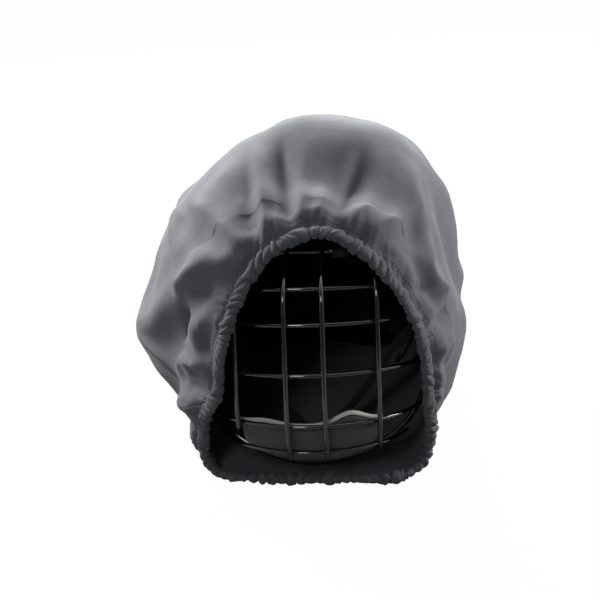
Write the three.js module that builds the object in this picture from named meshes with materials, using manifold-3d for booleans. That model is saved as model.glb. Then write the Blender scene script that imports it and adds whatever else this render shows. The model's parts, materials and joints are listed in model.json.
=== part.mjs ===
// Caged ice hockey helmet held in a gathered fabric cover, resting on a flat surface.
// Units are millimetres. +Z is up, the face looks along -Y, and X = 0 is the mirror plane of the helmet.
// The helmet and its cage are drawn as worn and then leant back as one, until the chin and the nape rest.

import * as THREE from 'three';
import { mergeVertices } from 'three/addons/utils/BufferGeometryUtils.js';
import Module from 'manifold-3d';

const wasm = await Module();
wasm.setup();

// Driving dimensions

const running_gap = 0.3;
const cut_overrun = 20;
const merge_distance = 0.0001;
const lean_back_degrees = 16;
const chin_wire_forward = -124;
const rest_gap = 0.4;

// Helmet shell as worn: a dome with its own centre, taller below its widest line than above it
const shell = {
  half_width: 112,
  half_length: 134,
  crown_height: 118,
  skirt_height: 150,
  centre_back: 16,
  centre_up: 165,
  wall: 3,
  overlap_gap: 1.4,
  brow_up: 188,
  temple_run: 40,
  temple_up: 150,
  ear_front: -36,
  ear_up: 122,
  ear_back: 34,
  nape_up: 65.5,
  split_back: 44,
  overlap: 30,
};

const vent = {
  width: 10,
  length: 44,
  spread: 36,
  back: -30,
  behind_split: 30,
};

const liner = {
  seat_gap: 0.4,
  thickness: 11,
  edge_margin: 8,
};

const pad = {
  thickness: 9,
  brow_height: 30,
  brow_half_width: 70,
  crown_radius: 26,
  temple_length: 44,
  temple_height: 34,
  nape_height: 36,
  nape_half_width: 46,
};

const ear_guard = {
  wall: 2.5,
  clearance: 2.2,
  front: -30,
  back: 32,
  bottom: 74,
  top_rise: 14,
  hole_radius: 15,
  hole_back: 2,
  hole_up: 98,
  rivet_back: -4,
  rivet_rise: 7,
  boss_radius: 5,
};
const rivet = {
  head_radius: 4,
  head_height: 1.4,
  shank_radius: 1.8,
};

// Face cage: welded round wires on a curved surface, drawn at each height by how far it stands ahead of the
// shell's front and how far in it lies from the shell's side
const cage = {
  centre_back: -50,
  frame_radius: 2.2,
  bar_radius: 1.7,
  post_radius: 2,
  weld_gap: 0.3,
  hinge_ahead: 6,
  hinge_up: 187,
  clip_span: 36,
};
const cage_rows = [
  { up: 8.5, ahead: -23, side_in: 60 },
  { up: 22, ahead: 1, side_in: 46 },
  { up: 36.5, ahead: 26, side_in: 32 },
  { up: 60, ahead: 40, side_in: 20 },
  { up: 99.5, ahead: 44, side_in: 12 },
  { up: 137, ahead: 43, side_in: 9 },
  { up: 161, ahead: 38, side_in: 9 },
  { up: 187, ahead: 6, side_in: 9 },
];

const cage_bars = {
  brow_bar: 161,
  eye_bar: 137,
  nose_bar: 99.5,
  mouth_bar: 60,
  jaw_bar: 36.5,
};
const cage_posts = {
  post_left_outer: { across_share: -0.806, from: 60 },
  post_left: { across_share: -0.476, from: 58 },
  post_centre_left: { across_share: -0.126, from: 36.5 },
  post_centre_right: { across_share: 0.126, from: 36.5 },
  post_right: { across_share: 0.485, from: 36.5 },
  post_right_outer: { across_share: 0.806, from: 60 },
};

const chin_cup = {
  half_width_share: 0.505,
  thickness: 10,
  edge_thickness: 3,
  bottom: 14,
  bottom_rise: 22,
  top: 56,
  lobe_rise: 9,
  lobe_place_share: 0.62,
  lobe_width_share: 0.28,
  left_lobe_share: 0.35,
  piping_radius: 1.7,
};

// Fasteners and clips
const clip = {
  across: 27,
  width: 12,
  bore_clearance: 0.7,
  wall: 2.6,
  plate_height: 27,
  plate_thickness: 5,
  screw_up: 207,
  wrap_from_degrees: 112,
  wrap_to_degrees: 315,
};
const screw = {
  head_radius: 4,
  head_height: 2,
  shank_radius: 1.8,
  hole_clearance: 0.4,
  seat_height: 3,
  driver_radius: 1.4,
  driver_depth: 1.1,
  driver_sides: 6,
  reach: 8,
};
const adjuster = {
  back: 28,
  upper_up: 204,
  lower_rise: 34,
  travel: 8,
  head_radius: 6,
  head_height: 2.2,
  shank_radius: 2.4,
  slot_clearance: 0.6,
  head_gap: 0.7,
  nut_radius: 7,
  nut_height: 2,
};
const strap = {
  width: 18,
  thickness: 1.8,
  snap_radius: 6.5,
  snap_height: 2.4,
  socket_radius: 4.4,
  socket_height: 2,
  stud_reach: 1,
  stud_tail_radius: 3.4,
  snap_back: -22,
  snap_rise: 18,
  wire_up: 112,
  wire_clearance: 1.8,
};

// Where the cage strap lies on the shell, in strap widths from its snap
const strap_shares = [-1, -0.45, 0, 0.45];

const chin_strap = {
  width: 16,
  thickness: 1.8,
  anchor_radius: 6,
  anchor_height: 2.6,
  anchor_drop: 9,
  low_forward: 39,
};

// Fabric cover: a loose bag lofted from its gathered mouth back over the helmet
const cover = {
  cloth: 1,
  left_room: 54,
  right_room: 24,
  top_room: 10.3,
  rear_room: 17.3,
  widest_up: 66,
  seam_gap: 0.35,
  floor_blend: 34,
  puff: 7,
  gather_run: 16,
  underside_share: 1.15,
};
const mouth = {
  side_in: 12,
  height: 209,
  reach: 165,
  centre_across: 8,
  centre_up: 78,
  casing_radius: 5.6,
  casing_bore: 3.1,
  ruffle: 1.1,
  ruffle_count: 20,
  slit_half_angle_degrees: 29,
  elastic_radius: 2.25,
};

// The mouth's line, as shares of the mouth's half width, reach and height
const mouth_shares = [
  [0.93, -0.8, 0.32],
  [0.91, -0.82, 0.47],
  [0.85, -0.84, 0.64],
  [0.7, -0.84, 0.8],
  [0.5, -0.82, 0.915],
  [0.14, -0.77, 1.0],
  [-0.22, -0.83, 0.95],
  [-0.43, -0.92, 0.845],
  [-0.55, -0.98, 0.72],
  [-0.63, -1.01, 0.585],
  [-0.665, -1.0, 0.475],
  [-0.74, -0.965, 0.39],
  [-0.83, -0.895, 0.3],
  [-0.86, -0.87, 0.2],
  [-0.88, -0.83, 0.1],
  [-0.78, -0.86, 0.034],
  [-0.5, -0.91, 0.034],
  [0.14, -0.92, 0.034],
  [0.73, -0.89, 0.034],
  [0.89, -0.82, 0.065],
  [0.95, -0.79, 0.175],
];

// Cross sections of the bag behind the mouth. Places are shares of the way from the mouth to the back, widths
// of the half widths and heights of the cover's height. The last shares round its upper left, upper right and
// lower corners.
const section_shares = [
  { back: 0.22, lean: 0.16, left: 0.72, right: 0.875, up: 0.905, low: 0, round_shares: [2.4, 2.4, 2.3] },
  { back: 0.432, lean: 0.12, left: 1, right: 0.967, up: 1, low: 0, round_shares: [1.65, 2.22, 1.9] },
  { back: 0.654, lean: 0.06, left: 0.964, right: 0.967, up: 0.955, low: 0, round_shares: [1.75, 2.22, 1.9] },
  { back: 0.848, lean: 0, left: 0.735, right: 0.84, up: 0.83, low: 0, round_shares: [1.95, 2.2, 2] },
  { back: 0.961, lean: -0.1, left: 0.4, right: 0.46, up: 0.66, low: 0.09, round_shares: [2, 2, 2] },
];
const rear_point_shares = { across: -0.05, up: 0.33 };

// The mouth's lower edge drops to the floor just behind its casing
const floor_shares = { edge: 0.04, blend: 0.05, drop_run: 0.35 };

// Runs count the cross sections back from the mouth: where the collar's puff starts and fades
const puff_run_shares = { full: 0.3, fade_from: 0.45, fade_to: 1 };

// Where the slack cloth swells out or falls in: a place on the bag, its height there and its radius
const bag_swells = [
  { place_shares: [0.45, 0.75], high: -7, radius: 26 },
  { place_shares: [0.455, 2.0], high: -11, radius: 38 },
  { place_shares: [0.565, 1.9], high: -9, radius: 26 },
  { place_shares: [0.07, 2.1], high: -15, radius: 44 },
  { place_shares: [-0.045, 1.9], high: -9, radius: 24 },
  { place_shares: [0.5, 2.1], high: 3, radius: 26 },
  { place_shares: [0.01, 2.0], high: 3, radius: 26 },
  { place_shares: [0.205, 0.75], high: -3, radius: 30 },
  { place_shares: [0.33, 1.2], high: 4, radius: 34 },
  { place_shares: [0.14, 1.6], high: 3, radius: 34 },
  { place_shares: [0.25, 3.6], high: -4, radius: 46 },
  { place_shares: [0.4, 3.5], high: 4, radius: 40 },
  { place_shares: [0.155, 2.9], high: 5, radius: 46 },
  { place_shares: [0.085, 3.0], high: 8, radius: 40 },
  { place_shares: [0.03, 2.35], high: -8, radius: 28 },
  { place_shares: [-0.015, 0.9], high: -12, radius: 26 },
  { place_shares: [-0.065, 0.75], high: -13, radius: 24 },
  { place_shares: [-0.1, 0.5], high: -6, radius: 18 },
  { place_shares: [0.54, 1.05], high: -12, radius: 26 },
];

// Where the collar's cloth falls straight back between its ridges
const collar_hollows = [
  { place_shares: [0.425, 0.17], back: 9, radius: 13 },
  { place_shares: [0.465, 0.65], back: 12, radius: 18 },
  { place_shares: [0.478, 0.32], back: 8, radius: 14 },
  { place_shares: [0.055, 0.45], back: 9, radius: 15 },
];

// Main folds: a line of places on the bag, the fold's height, less than zero for a valley, and half its width
const bag_folds = [
  { line_shares: [[0.3, 0.12], [0.298, 0.6], [0.297, 1.2], [0.296, 1.8]], high: 5, wide: 10 },
  { line_shares: [[0.273, 0.1], [0.271, 0.6], [0.272, 1.2], [0.273, 1.7]], high: -7, wide: 12 },
  { line_shares: [[0.25, 0.1], [0.25, 0.7], [0.248, 1.45]], high: 4, wide: 12 },
  { line_shares: [[0.227, 0.1], [0.214, 0.5], [0.202, 1], [0.194, 1.5]], high: -8, wide: 13 },
  { line_shares: [[0.206, 0.1], [0.19, 0.6], [0.175, 1.2]], high: 5, wide: 14 },
  { line_shares: [[0.322, 0.15], [0.342, 0.6], [0.359, 1.05], [0.374, 1.9]], high: 6, wide: 12 },
  { line_shares: [[0.334, 0.18], [0.358, 0.45], [0.381, 0.75], [0.401, 1.2]], high: 4.5, wide: 12 },
  { line_shares: [[0.339, 0.12], [0.395, 0.6], [0.437, 0.95], [0.49, 2]], high: 12, wide: 14 },
  { line_shares: [[0.438, 0.08], [0.462, 0.4], [0.487, 0.9]], high: 6, wide: 8 },
  { line_shares: [[0.188, 0.15], [0.16, 0.55], [0.133, 1.25]], high: 5, wide: 12 },
  { line_shares: [[0.416, 0.7], [0.407, 1.25], [0.397, 2], [0.392, 2.6]], high: 5, wide: 14 },
  { line_shares: [[0.43, 0.9], [0.422, 1.4], [0.41, 2.1]], high: -4, wide: 10 },
  { line_shares: [[0.31, 2.05], [0.34, 2.1], [0.38, 2.15], [0.42, 2.3]], high: 4, wide: 10 },
  { line_shares: [[0.2, 2.1], [0.16, 2.1], [0.12, 2.2], [0.08, 2.4]], high: 4, wide: 10 },
  { line_shares: [[0.135, 1.4], [0.113, 0.8], [0.095, 0.55], [0.072, 0.82]], high: 6, wide: 11 },
  { line_shares: [[0.25, 2.6], [0.28, 3.2], [0.27, 4.2]], high: 4, wide: 14 },
  { line_shares: [[0.12, 2.7], [0.15, 3.4], [0.2, 4.4]], high: 4, wide: 14 },
  { line_shares: [[0.4, 2.6], [0.38, 3.4], [0.33, 4.3]], high: 4.5, wide: 14 },
  { line_shares: [[0.48, 2.4], [0.49, 3.1], [0.47, 3.9]], high: 5, wide: 14 },
  { line_shares: [[0.03, 2.4], [0.02, 3.1], [0.05, 3.9]], high: 5, wide: 14 },
];

// Seams of the bag, as turns round the mouth and runs back from it
const seam_shares = {
  right_low_turn: -0.105,
  right_high_turn: 0.12,
  left_high_turn: 0.375,
  left_low_turn: 0.6,
  collar_run: 1,
  rear_run: 4,
};

// The frame's side, as shares of a quarter turn and heights among the cage's own heights
const frame_angle_shares = [0.5, 0.72, 0.88, 0.94, 0.9, 0.78, 0.56, 0.3];
const frame_up_shares = [0.975, 0.9, 0.77, 0.58, 0.37, 0.2, 0.08, 0.02];

// The chin strap's way down from the ear guard and in under the chin
const chin_strap_shares = [
  [0, 0],
  [0.16, 0.01],
  [0.34, 0.2],
  [0.62, 0.46],
  [0.88, 0.76],
  [1, 1],
];

// Counts

const shell_segments = 26;
const shell_rings = 16;
const wire_sides = 6;
const round_sides = 12;
const frame_steps = 60;
const bar_steps = 18;
const post_steps = 12;
const cup_steps = 18;
const cup_rows = 4;
const strap_steps = 24;
const clip_arc_steps = 9;
const mouth_steps = 60;
const mouth_sample_count = 400;
const casing_arc_steps = 4;
const cover_steps = 54;
const fold_steps = 16;
const middle_runs = 7;
const end_runs = 4;

// Materials

function material(color, roughness, metalness = 0) {
  return () => new THREE.MeshStandardMaterial({ color, roughness, metalness });
}
const finishes = {
  cover_cloth: material(0x4a4c50, 0.95),
  shell_plastic: material(0x121315, 0.3),
  cage_enamel: material(0x17181a, 0.25, 0.4),
  foam: material(0x1b1c1f, 0.9),
  pad_cloth: material(0x2b2d31, 0.95),
  piping_cord: material(0xe9e7e0, 0.8),
  screw_steel: material(0x8d9095, 0.35, 0.9),
  clip_plastic: material(0x1a1b1e, 0.45),
  strap_webbing: material(0x1d1e21, 0.9),
  guard_plastic: material(0x3a3d42, 0.2),
  elastic_rubber: material(0x303236, 0.8),
};

// Solids and meshes

const parts = new THREE.Group();
const worn = new THREE.Group();
const lean = THREE.MathUtils.degToRad(lean_back_degrees);
worn.rotation.x = -lean;
parts.add(worn);

function addMesh(group, name, geometry, finish) {
  const mesh = new THREE.Mesh(geometry, finishes[finish]());
  mesh.name = name;
  group.add(mesh);
  return mesh;
}

function signedVolume(geometry) {
  const at = geometry.attributes.position;
  const index = geometry.index;
  const a = new THREE.Vector3();
  const b = new THREE.Vector3();
  const c = new THREE.Vector3();
  let sum = 0;
  for (let i = 0; i < index.count; i += 3) {
    a.fromBufferAttribute(at, index.getX(i));
    b.fromBufferAttribute(at, index.getX(i + 1));
    c.fromBufferAttribute(at, index.getX(i + 2));
    sum += a.dot(b.cross(c));
  }
  return sum;
}

// A closed mesh from points and triangles: shared points are merged, empty faces dropped, faces turned out
function closedGeometry(points, triangles) {
  const loose = new THREE.BufferGeometry().setFromPoints(points);
  loose.setIndex(triangles);
  const merged = mergeVertices(loose, merge_distance);
  const kept = [];
  const index = merged.index;
  for (let i = 0; i < index.count; i += 3) {
    const [a, b, c] = [index.getX(i), index.getX(i + 1), index.getX(i + 2)];
    if (a !== b && b !== c && c !== a) kept.push(a, b, c);
  }
  merged.setIndex(kept);
  if (signedVolume(merged) < 0) {
    for (let i = 0; i < kept.length; i += 3) [kept[i], kept[i + 1]] = [kept[i + 1], kept[i]];
    merged.setIndex(kept);
  }
  merged.computeVertexNormals();
  return merged;
}

function toSolid(geometry) {
  const bare = geometry.clone();
  bare.deleteAttribute('normal');
  bare.deleteAttribute('uv');
  const merged = mergeVertices(bare, merge_distance);
  const vertProperties = new Float32Array(merged.attributes.position.array);
  const triVerts = new Uint32Array(merged.index.array);
  return new wasm.Manifold(new wasm.Mesh({ numProp: 3, vertProperties, triVerts }));
}

function toGeometry(solid) {
  const mesh = solid.getMesh();
  const geometry = new THREE.BufferGeometry();
  const points = [];
  for (let i = 0; i < mesh.vertProperties.length; i += mesh.numProp) {
    points.push(new THREE.Vector3(...mesh.vertProperties.slice(i, i + 3)));
  }
  geometry.setFromPoints(points);
  geometry.setIndex(new THREE.BufferAttribute(new Uint32Array(mesh.triVerts), 1));
  geometry.computeVertexNormals();
  return geometry;
}

function cut(solid, ...tools) {
  return tools.reduce((left, tool) => left.subtract(tool), solid);
}

// The dome of the shell, drawn inwards by an offset
function domeSize(offset) {
  return {
    across: shell.half_width - offset,
    along: shell.half_length - offset,
    up: shell.crown_height - offset,
    down: shell.skirt_height - offset,
  };
}

function dome(offset) {
  const size = domeSize(offset);
  const geometry = new THREE.SphereGeometry(1, shell_segments, shell_rings);
  geometry.rotateX(Math.PI / 2);
  const at = geometry.attributes.position;
  for (let i = 0; i < at.count; i++) {
    const rise = at.getZ(i) > 0 ? size.up : size.down;
    at.setXYZ(
      i,
      at.getX(i) * size.across,
      at.getY(i) * size.along + shell.centre_back,
      at.getZ(i) * rise + shell.centre_up,
    );
  }
  return toSolid(geometry);
}

function domeHalfWidth(offset, back, up) {
  const size = domeSize(offset);
  const rise = up > shell.centre_up ? size.up : size.down;
  const left = 1 - ((back - shell.centre_back) / size.along) ** 2 - ((up - shell.centre_up) / rise) ** 2;
  return size.across * Math.sqrt(Math.max(0, left));
}

function domeForward(offset, across, up) {
  const size = domeSize(offset);
  const rise = up > shell.centre_up ? size.up : size.down;
  const left = 1 - (across / size.across) ** 2 - ((up - shell.centre_up) / rise) ** 2;
  return shell.centre_back - size.along * Math.sqrt(Math.max(0, left));
}

function domeNormal(point) {
  const rise = point.z > shell.centre_up ? shell.crown_height : shell.skirt_height;
  return new THREE.Vector3(
    point.x / shell.half_width ** 2,
    (point.y - shell.centre_back) / shell.half_length ** 2,
    (point.z - shell.centre_up) / rise ** 2,
  ).normalize();
}

// An outline seen from the side, as [back, up] pairs, made a bar across the whole helmet or one side of it
function sideBar(outline, from, to) {
  const shape = new THREE.Shape(outline.map(([back, up]) => new THREE.Vector2(back, up)));
  const geometry = new THREE.ExtrudeGeometry(shape, { depth: to - from, bevelEnabled: false });
  const turn = new THREE.Matrix4().makeBasis(
    new THREE.Vector3(0, 1, 0),
    new THREE.Vector3(0, 0, 1),
    new THREE.Vector3(1, 0, 0),
  );
  geometry.applyMatrix4(turn);
  geometry.translate(from, 0, 0);
  return toSolid(geometry);
}

// A cylinder along a direction, from a point, starting behind it and ending ahead of it
function peg(point, direction, radius, behind, ahead, sides = round_sides) {
  const geometry = new THREE.CylinderGeometry(radius, radius, behind + ahead, sides);
  geometry.translate(0, (ahead - behind) / 2, 0);
  const turn = new THREE.Quaternion().setFromUnitVectors(new THREE.Vector3(0, 1, 0), direction);
  geometry.applyQuaternion(turn);
  geometry.translate(point.x, point.y, point.z);
  return toSolid(geometry);
}

const wide = shell.half_width + cut_overrun;
const high = shell.centre_up + shell.crown_height + cut_overrun;
const shell_front = shell.centre_back - shell.half_length;
const far_front = shell_front - cut_overrun;
const temple_front = shell_front + shell.temple_run;
const far_back = shell.centre_back + shell.half_length + cut_overrun;
const sides = { left: -1, right: 1 };

function domeLayer(outer_offset, inner_offset, outline, from = -wide, to = wide) {
  const layer = dome(outer_offset).subtract(dome(inner_offset));
  return layer.intersect(sideBar(outline, from, to));
}

function domePoint(side, back, up) {
  return new THREE.Vector3(sides[side] * domeHalfWidth(0, back, up), back, up);
}

// Swept and gridded bodies

function roundOutline(radius, count) {
  return Array.from({ length: count }, (_, i) => {
    const turn = (2 * Math.PI * i) / count;
    return [radius * Math.cos(turn), radius * Math.sin(turn)];
  });
}

function sweep(curve, outline, steps, closed = false) {
  const frames = curve.computeFrenetFrames(steps, closed);
  const points = [];
  const triangles = [];
  const count = outline.length;
  for (let i = 0; i <= steps; i++) {
    const centre = curve.getPointAt(i / steps);
    for (const [a, b] of outline) {
      points.push(
        centre.clone().addScaledVector(frames.normals[i], a).addScaledVector(frames.binormals[i], b),
      );
    }
  }
  for (let i = 0; i < steps; i++) {
    for (let k = 0; k < count; k++) {
      const next = (k + 1) % count;
      const ahead = closed ? (i + 1) % steps : i + 1;
      const [a, b, c, d] = [i * count + k, i * count + next, ahead * count + next, ahead * count + k];
      triangles.push(a, b, c, a, c, d);
    }
  }
  if (!closed) {
    for (let k = 1; k < count - 1; k++) {
      triangles.push(0, k + 1, k);
      const last = steps * count;
      triangles.push(last, last + k, last + k + 1);
    }
  }
  return closedGeometry(points, triangles);
}

// A closed wall between an outer and an inner grid of points; a grid may close round on itself
function wall(outer, inner, wraps, start_open = true, end_open = true) {
  const rows = outer.length;
  const columns = outer[0].length;
  const points = [...outer.flat(), ...inner.flat()];
  const triangles = [];
  const at = (layer, r, c) => layer * rows * columns + (r % rows) * columns + c;
  const quad = (a, b, c, d) => triangles.push(a, b, c, a, c, d);
  const row_count = wraps ? rows : rows - 1;
  for (let r = 0; r < row_count; r++) {
    for (let c = 0; c < columns - 1; c++) {
      quad(at(0, r, c), at(0, r + 1, c), at(0, r + 1, c + 1), at(0, r, c + 1));
      quad(at(1, r, c), at(1, r, c + 1), at(1, r + 1, c + 1), at(1, r + 1, c));
    }
    if (start_open) quad(at(0, r, 0), at(1, r, 0), at(1, r + 1, 0), at(0, r + 1, 0));
    const end = columns - 1;
    if (end_open) quad(at(0, r, end), at(0, r + 1, end), at(1, r + 1, end), at(1, r, end));
  }
  if (!wraps) {
    for (let c = 0; c < columns - 1; c++) {
      quad(at(0, 0, c), at(0, 0, c + 1), at(1, 0, c + 1), at(1, 0, c));
      const last = rows - 1;
      quad(at(0, last, c), at(1, last, c), at(1, last, c + 1), at(0, last, c + 1));
    }
  }
  return closedGeometry(points, triangles);
}

function mix(a, b, share) {
  return a + (b - a) * share;
}

function smooth(share) {
  const t = Math.min(1, Math.max(0, share));
  return t * t * (3 - 2 * t);
}

// Helmet shells

const front_outline = [
  [far_front, shell.brow_up],
  [temple_front, shell.brow_up - running_gap],
  [mix(temple_front, shell.ear_front, 0.5), shell.temple_up],
  [shell.ear_front, shell.ear_up + shell.wall],
  [shell.ear_front + shell.wall, shell.ear_up],
  [shell.split_back, shell.ear_up],
  [shell.split_back, high],
  [far_front, high],
];
const split_front = shell.split_back - shell.overlap;
const rear_outline = [
  [split_front, shell.ear_up],
  [shell.ear_back, mix(shell.ear_up, shell.nape_up, 0.2)],
  [mix(shell.ear_back, far_back, 0.4), shell.nape_up],
  [far_back, shell.nape_up],
  [far_back, high],
  [split_front, high],
];

const rear_offset = shell.wall + shell.overlap_gap;

function ventSlot(across, back) {
  const outline = [
    [back - vent.length / 2, high - vent.length * 2],
    [back + vent.length / 2, high - vent.length * 2],
    [back + vent.length / 2, high],
    [back - vent.length / 2, high],
  ];
  return sideBar(outline, across - vent.width / 2, across + vent.width / 2);
}

// Fittings along the shell's lower edge keep their heights above it
const guard_top = shell.ear_up + ear_guard.top_rise;

function adjusterPoints(side) {
  return [
    domePoint(side, adjuster.back, adjuster.upper_up),
    domePoint(side, adjuster.back, shell.ear_up + adjuster.lower_rise),
  ];
}

// A slot through the front shell, long enough for the screw to travel forward with the rear shell
function adjusterSlot(point) {
  const direction = domeNormal(point);
  const radius = adjuster.shank_radius + adjuster.slot_clearance;
  const start = peg(point, direction, radius, cut_overrun, cut_overrun);
  const moved = point.clone().add(new THREE.Vector3(0, -adjuster.travel, 0));
  const end = peg(moved, direction, radius, cut_overrun, cut_overrun);
  return wasm.Manifold.hull([start, end]);
}

function clipScrewPoint(side) {
  const across = sides[side] * clip.across;
  return new THREE.Vector3(across, domeForward(0, across, clip.screw_up), clip.screw_up);
}

function snapPoint(side) {
  return domePoint(side, strap.snap_back, shell.ear_up + strap.snap_rise);
}

function guardPoint(side) {
  return domePoint(side, ear_guard.rivet_back, shell.ear_up + ear_guard.rivet_rise);
}

function screwHole(point, radius) {
  return peg(point, domeNormal(point), radius + screw.hole_clearance, cut_overrun, cut_overrun);
}

function frontShell() {
  let solid = domeLayer(0, shell.wall, front_outline);
  for (const across of [-vent.spread, 0, vent.spread]) {
    solid = cut(solid, ventSlot(across, vent.back));
  }
  for (const side in sides) {
    solid = cut(
      solid,
      ...adjusterPoints(side).map(adjusterSlot),
      screwHole(clipScrewPoint(side), screw.shank_radius),
      screwHole(snapPoint(side), screw.shank_radius),
      screwHole(guardPoint(side), rivet.shank_radius),
    );
  }
  return solid;
}

function rearShell() {
  let solid = domeLayer(rear_offset, rear_offset + shell.wall, rear_outline);
  for (const across of [-vent.spread, 0, vent.spread]) {
    solid = cut(solid, ventSlot(across, shell.split_back + vent.behind_split));
  }
  for (const side in sides) {
    for (const point of adjusterPoints(side)) {
      solid = cut(solid, screwHole(point, adjuster.shank_radius));
    }
  }
  return solid;
}

addMesh(worn, 'front_shell', toGeometry(frontShell()), 'shell_plastic');
addMesh(worn, 'rear_shell', toGeometry(rearShell()), 'shell_plastic');

// Foam liners and comfort pads

const liner_outer = shell.wall + liner.seat_gap;
const liner_inner = liner_outer + liner.thickness;
const rear_liner_outer = rear_offset + shell.wall + liner.seat_gap;
const rear_liner_inner = rear_liner_outer + liner.thickness;

const front_liner_back = split_front - adjuster.travel - running_gap;
const front_liner_outline = [
  [far_front, shell.brow_up + liner.edge_margin],
  [temple_front + liner.edge_margin, shell.brow_up + liner.edge_margin],
  [shell.ear_front + liner.edge_margin, guard_top + liner.edge_margin],
  [front_liner_back, guard_top + liner.edge_margin],
  [front_liner_back, high],
  [far_front, high],
];
const rear_liner_front = adjuster.back + adjuster.nut_radius + liner.edge_margin;
const rear_liner_outline = [
  [rear_liner_front, guard_top + liner.edge_margin],
  [shell.ear_back + liner.edge_margin * 3, shell.nape_up + liner.edge_margin * 2],
  [far_back, shell.nape_up + liner.edge_margin * 2],
  [far_back, high],
  [rear_liner_front, high],
];

function frontLiner() {
  let solid = domeLayer(liner_outer, liner_inner, front_liner_outline);
  for (const side in sides) {
    for (const point of [clipScrewPoint(side), snapPoint(side)]) {
      solid = cut(solid, peg(point, domeNormal(point), screw.head_radius, cut_overrun, 0));
    }
  }
  return solid;
}
addMesh(worn, 'front_liner', toGeometry(frontLiner()), 'foam');
const rear_foam = domeLayer(rear_liner_outer, rear_liner_inner, rear_liner_outline);
addMesh(worn, 'rear_liner', toGeometry(rear_foam), 'foam');

function padLayer(outline, from, to, seat) {
  const outer = seat + running_gap;
  return domeLayer(outer, outer + pad.thickness, outline, from, to);
}

function rectangle(back_from, back_to, up_from, up_to) {
  return [
    [back_from, up_from],
    [back_to, up_from],
    [back_to, up_to],
    [back_from, up_to],
  ];
}

const brow_bottom = shell.brow_up + liner.edge_margin;
addMesh(
  worn,
  'brow_pad',
  toGeometry(padLayer(
    rectangle(far_front, temple_front, brow_bottom, brow_bottom + pad.brow_height),
    -pad.brow_half_width,
    pad.brow_half_width,
    liner_inner,
  )),
  'pad_cloth',
);
addMesh(
  worn,
  'nape_pad',
  toGeometry(padLayer(
    rectangle(shell.ear_back, far_back, shell.nape_up + liner.edge_margin * 3,
      shell.nape_up + liner.edge_margin * 3 + pad.nape_height),
    -pad.nape_half_width,
    pad.nape_half_width,
    rear_liner_inner,
  )),
  'pad_cloth',
);

function crownPad() {
  const top = new THREE.Vector3(0, front_liner_back - pad.crown_radius - liner.edge_margin, shell.centre_up);
  const column = peg(top, new THREE.Vector3(0, 0, 1), pad.crown_radius, 0, high);
  const outer = liner_inner + running_gap;
  return dome(outer).subtract(dome(outer + pad.thickness)).intersect(column);
}
addMesh(worn, 'crown_pad', toGeometry(crownPad()), 'pad_cloth');

for (const side in sides) {
  const [from, to] = side === 'left' ? [-wide, 0] : [0, wide];
  const front = front_liner_back - liner.edge_margin - pad.temple_length;
  const bottom = guard_top + liner.edge_margin * 2;
  const outline = rectangle(front, front + pad.temple_length, bottom, bottom + pad.temple_height);
  addMesh(worn, `temple_pad_${side}`, toGeometry(padLayer(outline, from, to, liner_inner)), 'pad_cloth');
}

// Ear guards: thin plates with an ear hole, each held off the front shell on a riveted boss

const guard_outer = rear_offset + shell.wall + ear_guard.clearance;
const guard_inner = guard_outer + ear_guard.wall;
const anchor_up = guard_top - ear_guard.hole_radius / 2;
const anchor_back = ear_guard.front + chin_strap.width / 2;

// A peg across the helmet on one side, where the chin strap's anchor goes through
function anchorPeg(side, across, radius, length) {
  const at = new THREE.Vector3(sides[side] * across, anchor_back, anchor_up - chin_strap.anchor_drop);
  return peg(at, new THREE.Vector3(sides[side], 0, 0), radius, 0, length);
}

function anchorHole(side) {
  return anchorPeg(side, 0, rivet.shank_radius + screw.hole_clearance, wide);
}

function earGuard(side) {
  const [from, to] = side === 'left' ? [-wide, 0] : [0, wide];
  const corner = liner.edge_margin;
  const outline = [
    [ear_guard.front, ear_guard.bottom + corner],
    [ear_guard.front + corner, ear_guard.bottom],
    [ear_guard.back - corner, ear_guard.bottom],
    [ear_guard.back, ear_guard.bottom + corner],
    [ear_guard.back, guard_top],
    [ear_guard.front, guard_top],
  ];
  const hole_at = new THREE.Vector3(0, ear_guard.hole_back, ear_guard.hole_up);
  const sideways = new THREE.Vector3(sides[side], 0, 0);
  const hole = peg(hole_at, sideways, ear_guard.hole_radius, 0, wide);
  const plate = domeLayer(guard_outer, guard_inner, outline, from, to);
  const point = guardPoint(side);
  const column = peg(point, domeNormal(point), ear_guard.boss_radius, cut_overrun, 0);
  const boss_layer = dome(shell.wall + running_gap).subtract(dome(guard_outer + ear_guard.wall / 2));
  const boss = boss_layer.intersect(column);
  return cut(plate.add(boss), hole, screwHole(point, rivet.shank_radius), anchorHole(side));
}

// A rivet through shell and guard, with a head on each
function guardRivet(side) {
  const point = guardPoint(side);
  const out = domeNormal(point);
  const head_at = point.clone().addScaledVector(out, running_gap);
  const head = peg(head_at, out, rivet.head_radius, 0, rivet.head_height);
  const tail_depth = guard_inner + running_gap + rivet.head_height;
  const tail_at = point.clone().addScaledVector(out, -tail_depth);
  const shank = peg(tail_at, out, rivet.shank_radius, 0, tail_depth + running_gap + rivet.head_height / 2);
  const column = peg(tail_at, out, rivet.head_radius, 0, cut_overrun);
  const tail = column.intersect(dome(guard_inner + running_gap));
  return head.add(shank).add(tail);
}

for (const side in sides) {
  addMesh(worn, `ear_guard_${side}`, toGeometry(earGuard(side)), 'guard_plastic');
  addMesh(worn, `ear_guard_rivet_${side}`, toGeometry(guardRivet(side)), 'screw_steel');
}

// Screws

function screwSolid(point, sizes, seat, reach) {
  const out = domeNormal(point);
  const head_at = point.clone().addScaledVector(out, seat);
  const head = peg(head_at, out, sizes.head_radius, 0, sizes.head_height);
  const shank = peg(head_at, out, sizes.shank_radius, seat + reach, sizes.head_height / 2);
  const top = head_at.clone().addScaledVector(out, sizes.head_height);
  const driver = peg(top, out, screw.driver_radius, screw.driver_depth, cut_overrun, screw.driver_sides);
  return cut(head.add(shank), driver);
}

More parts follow.
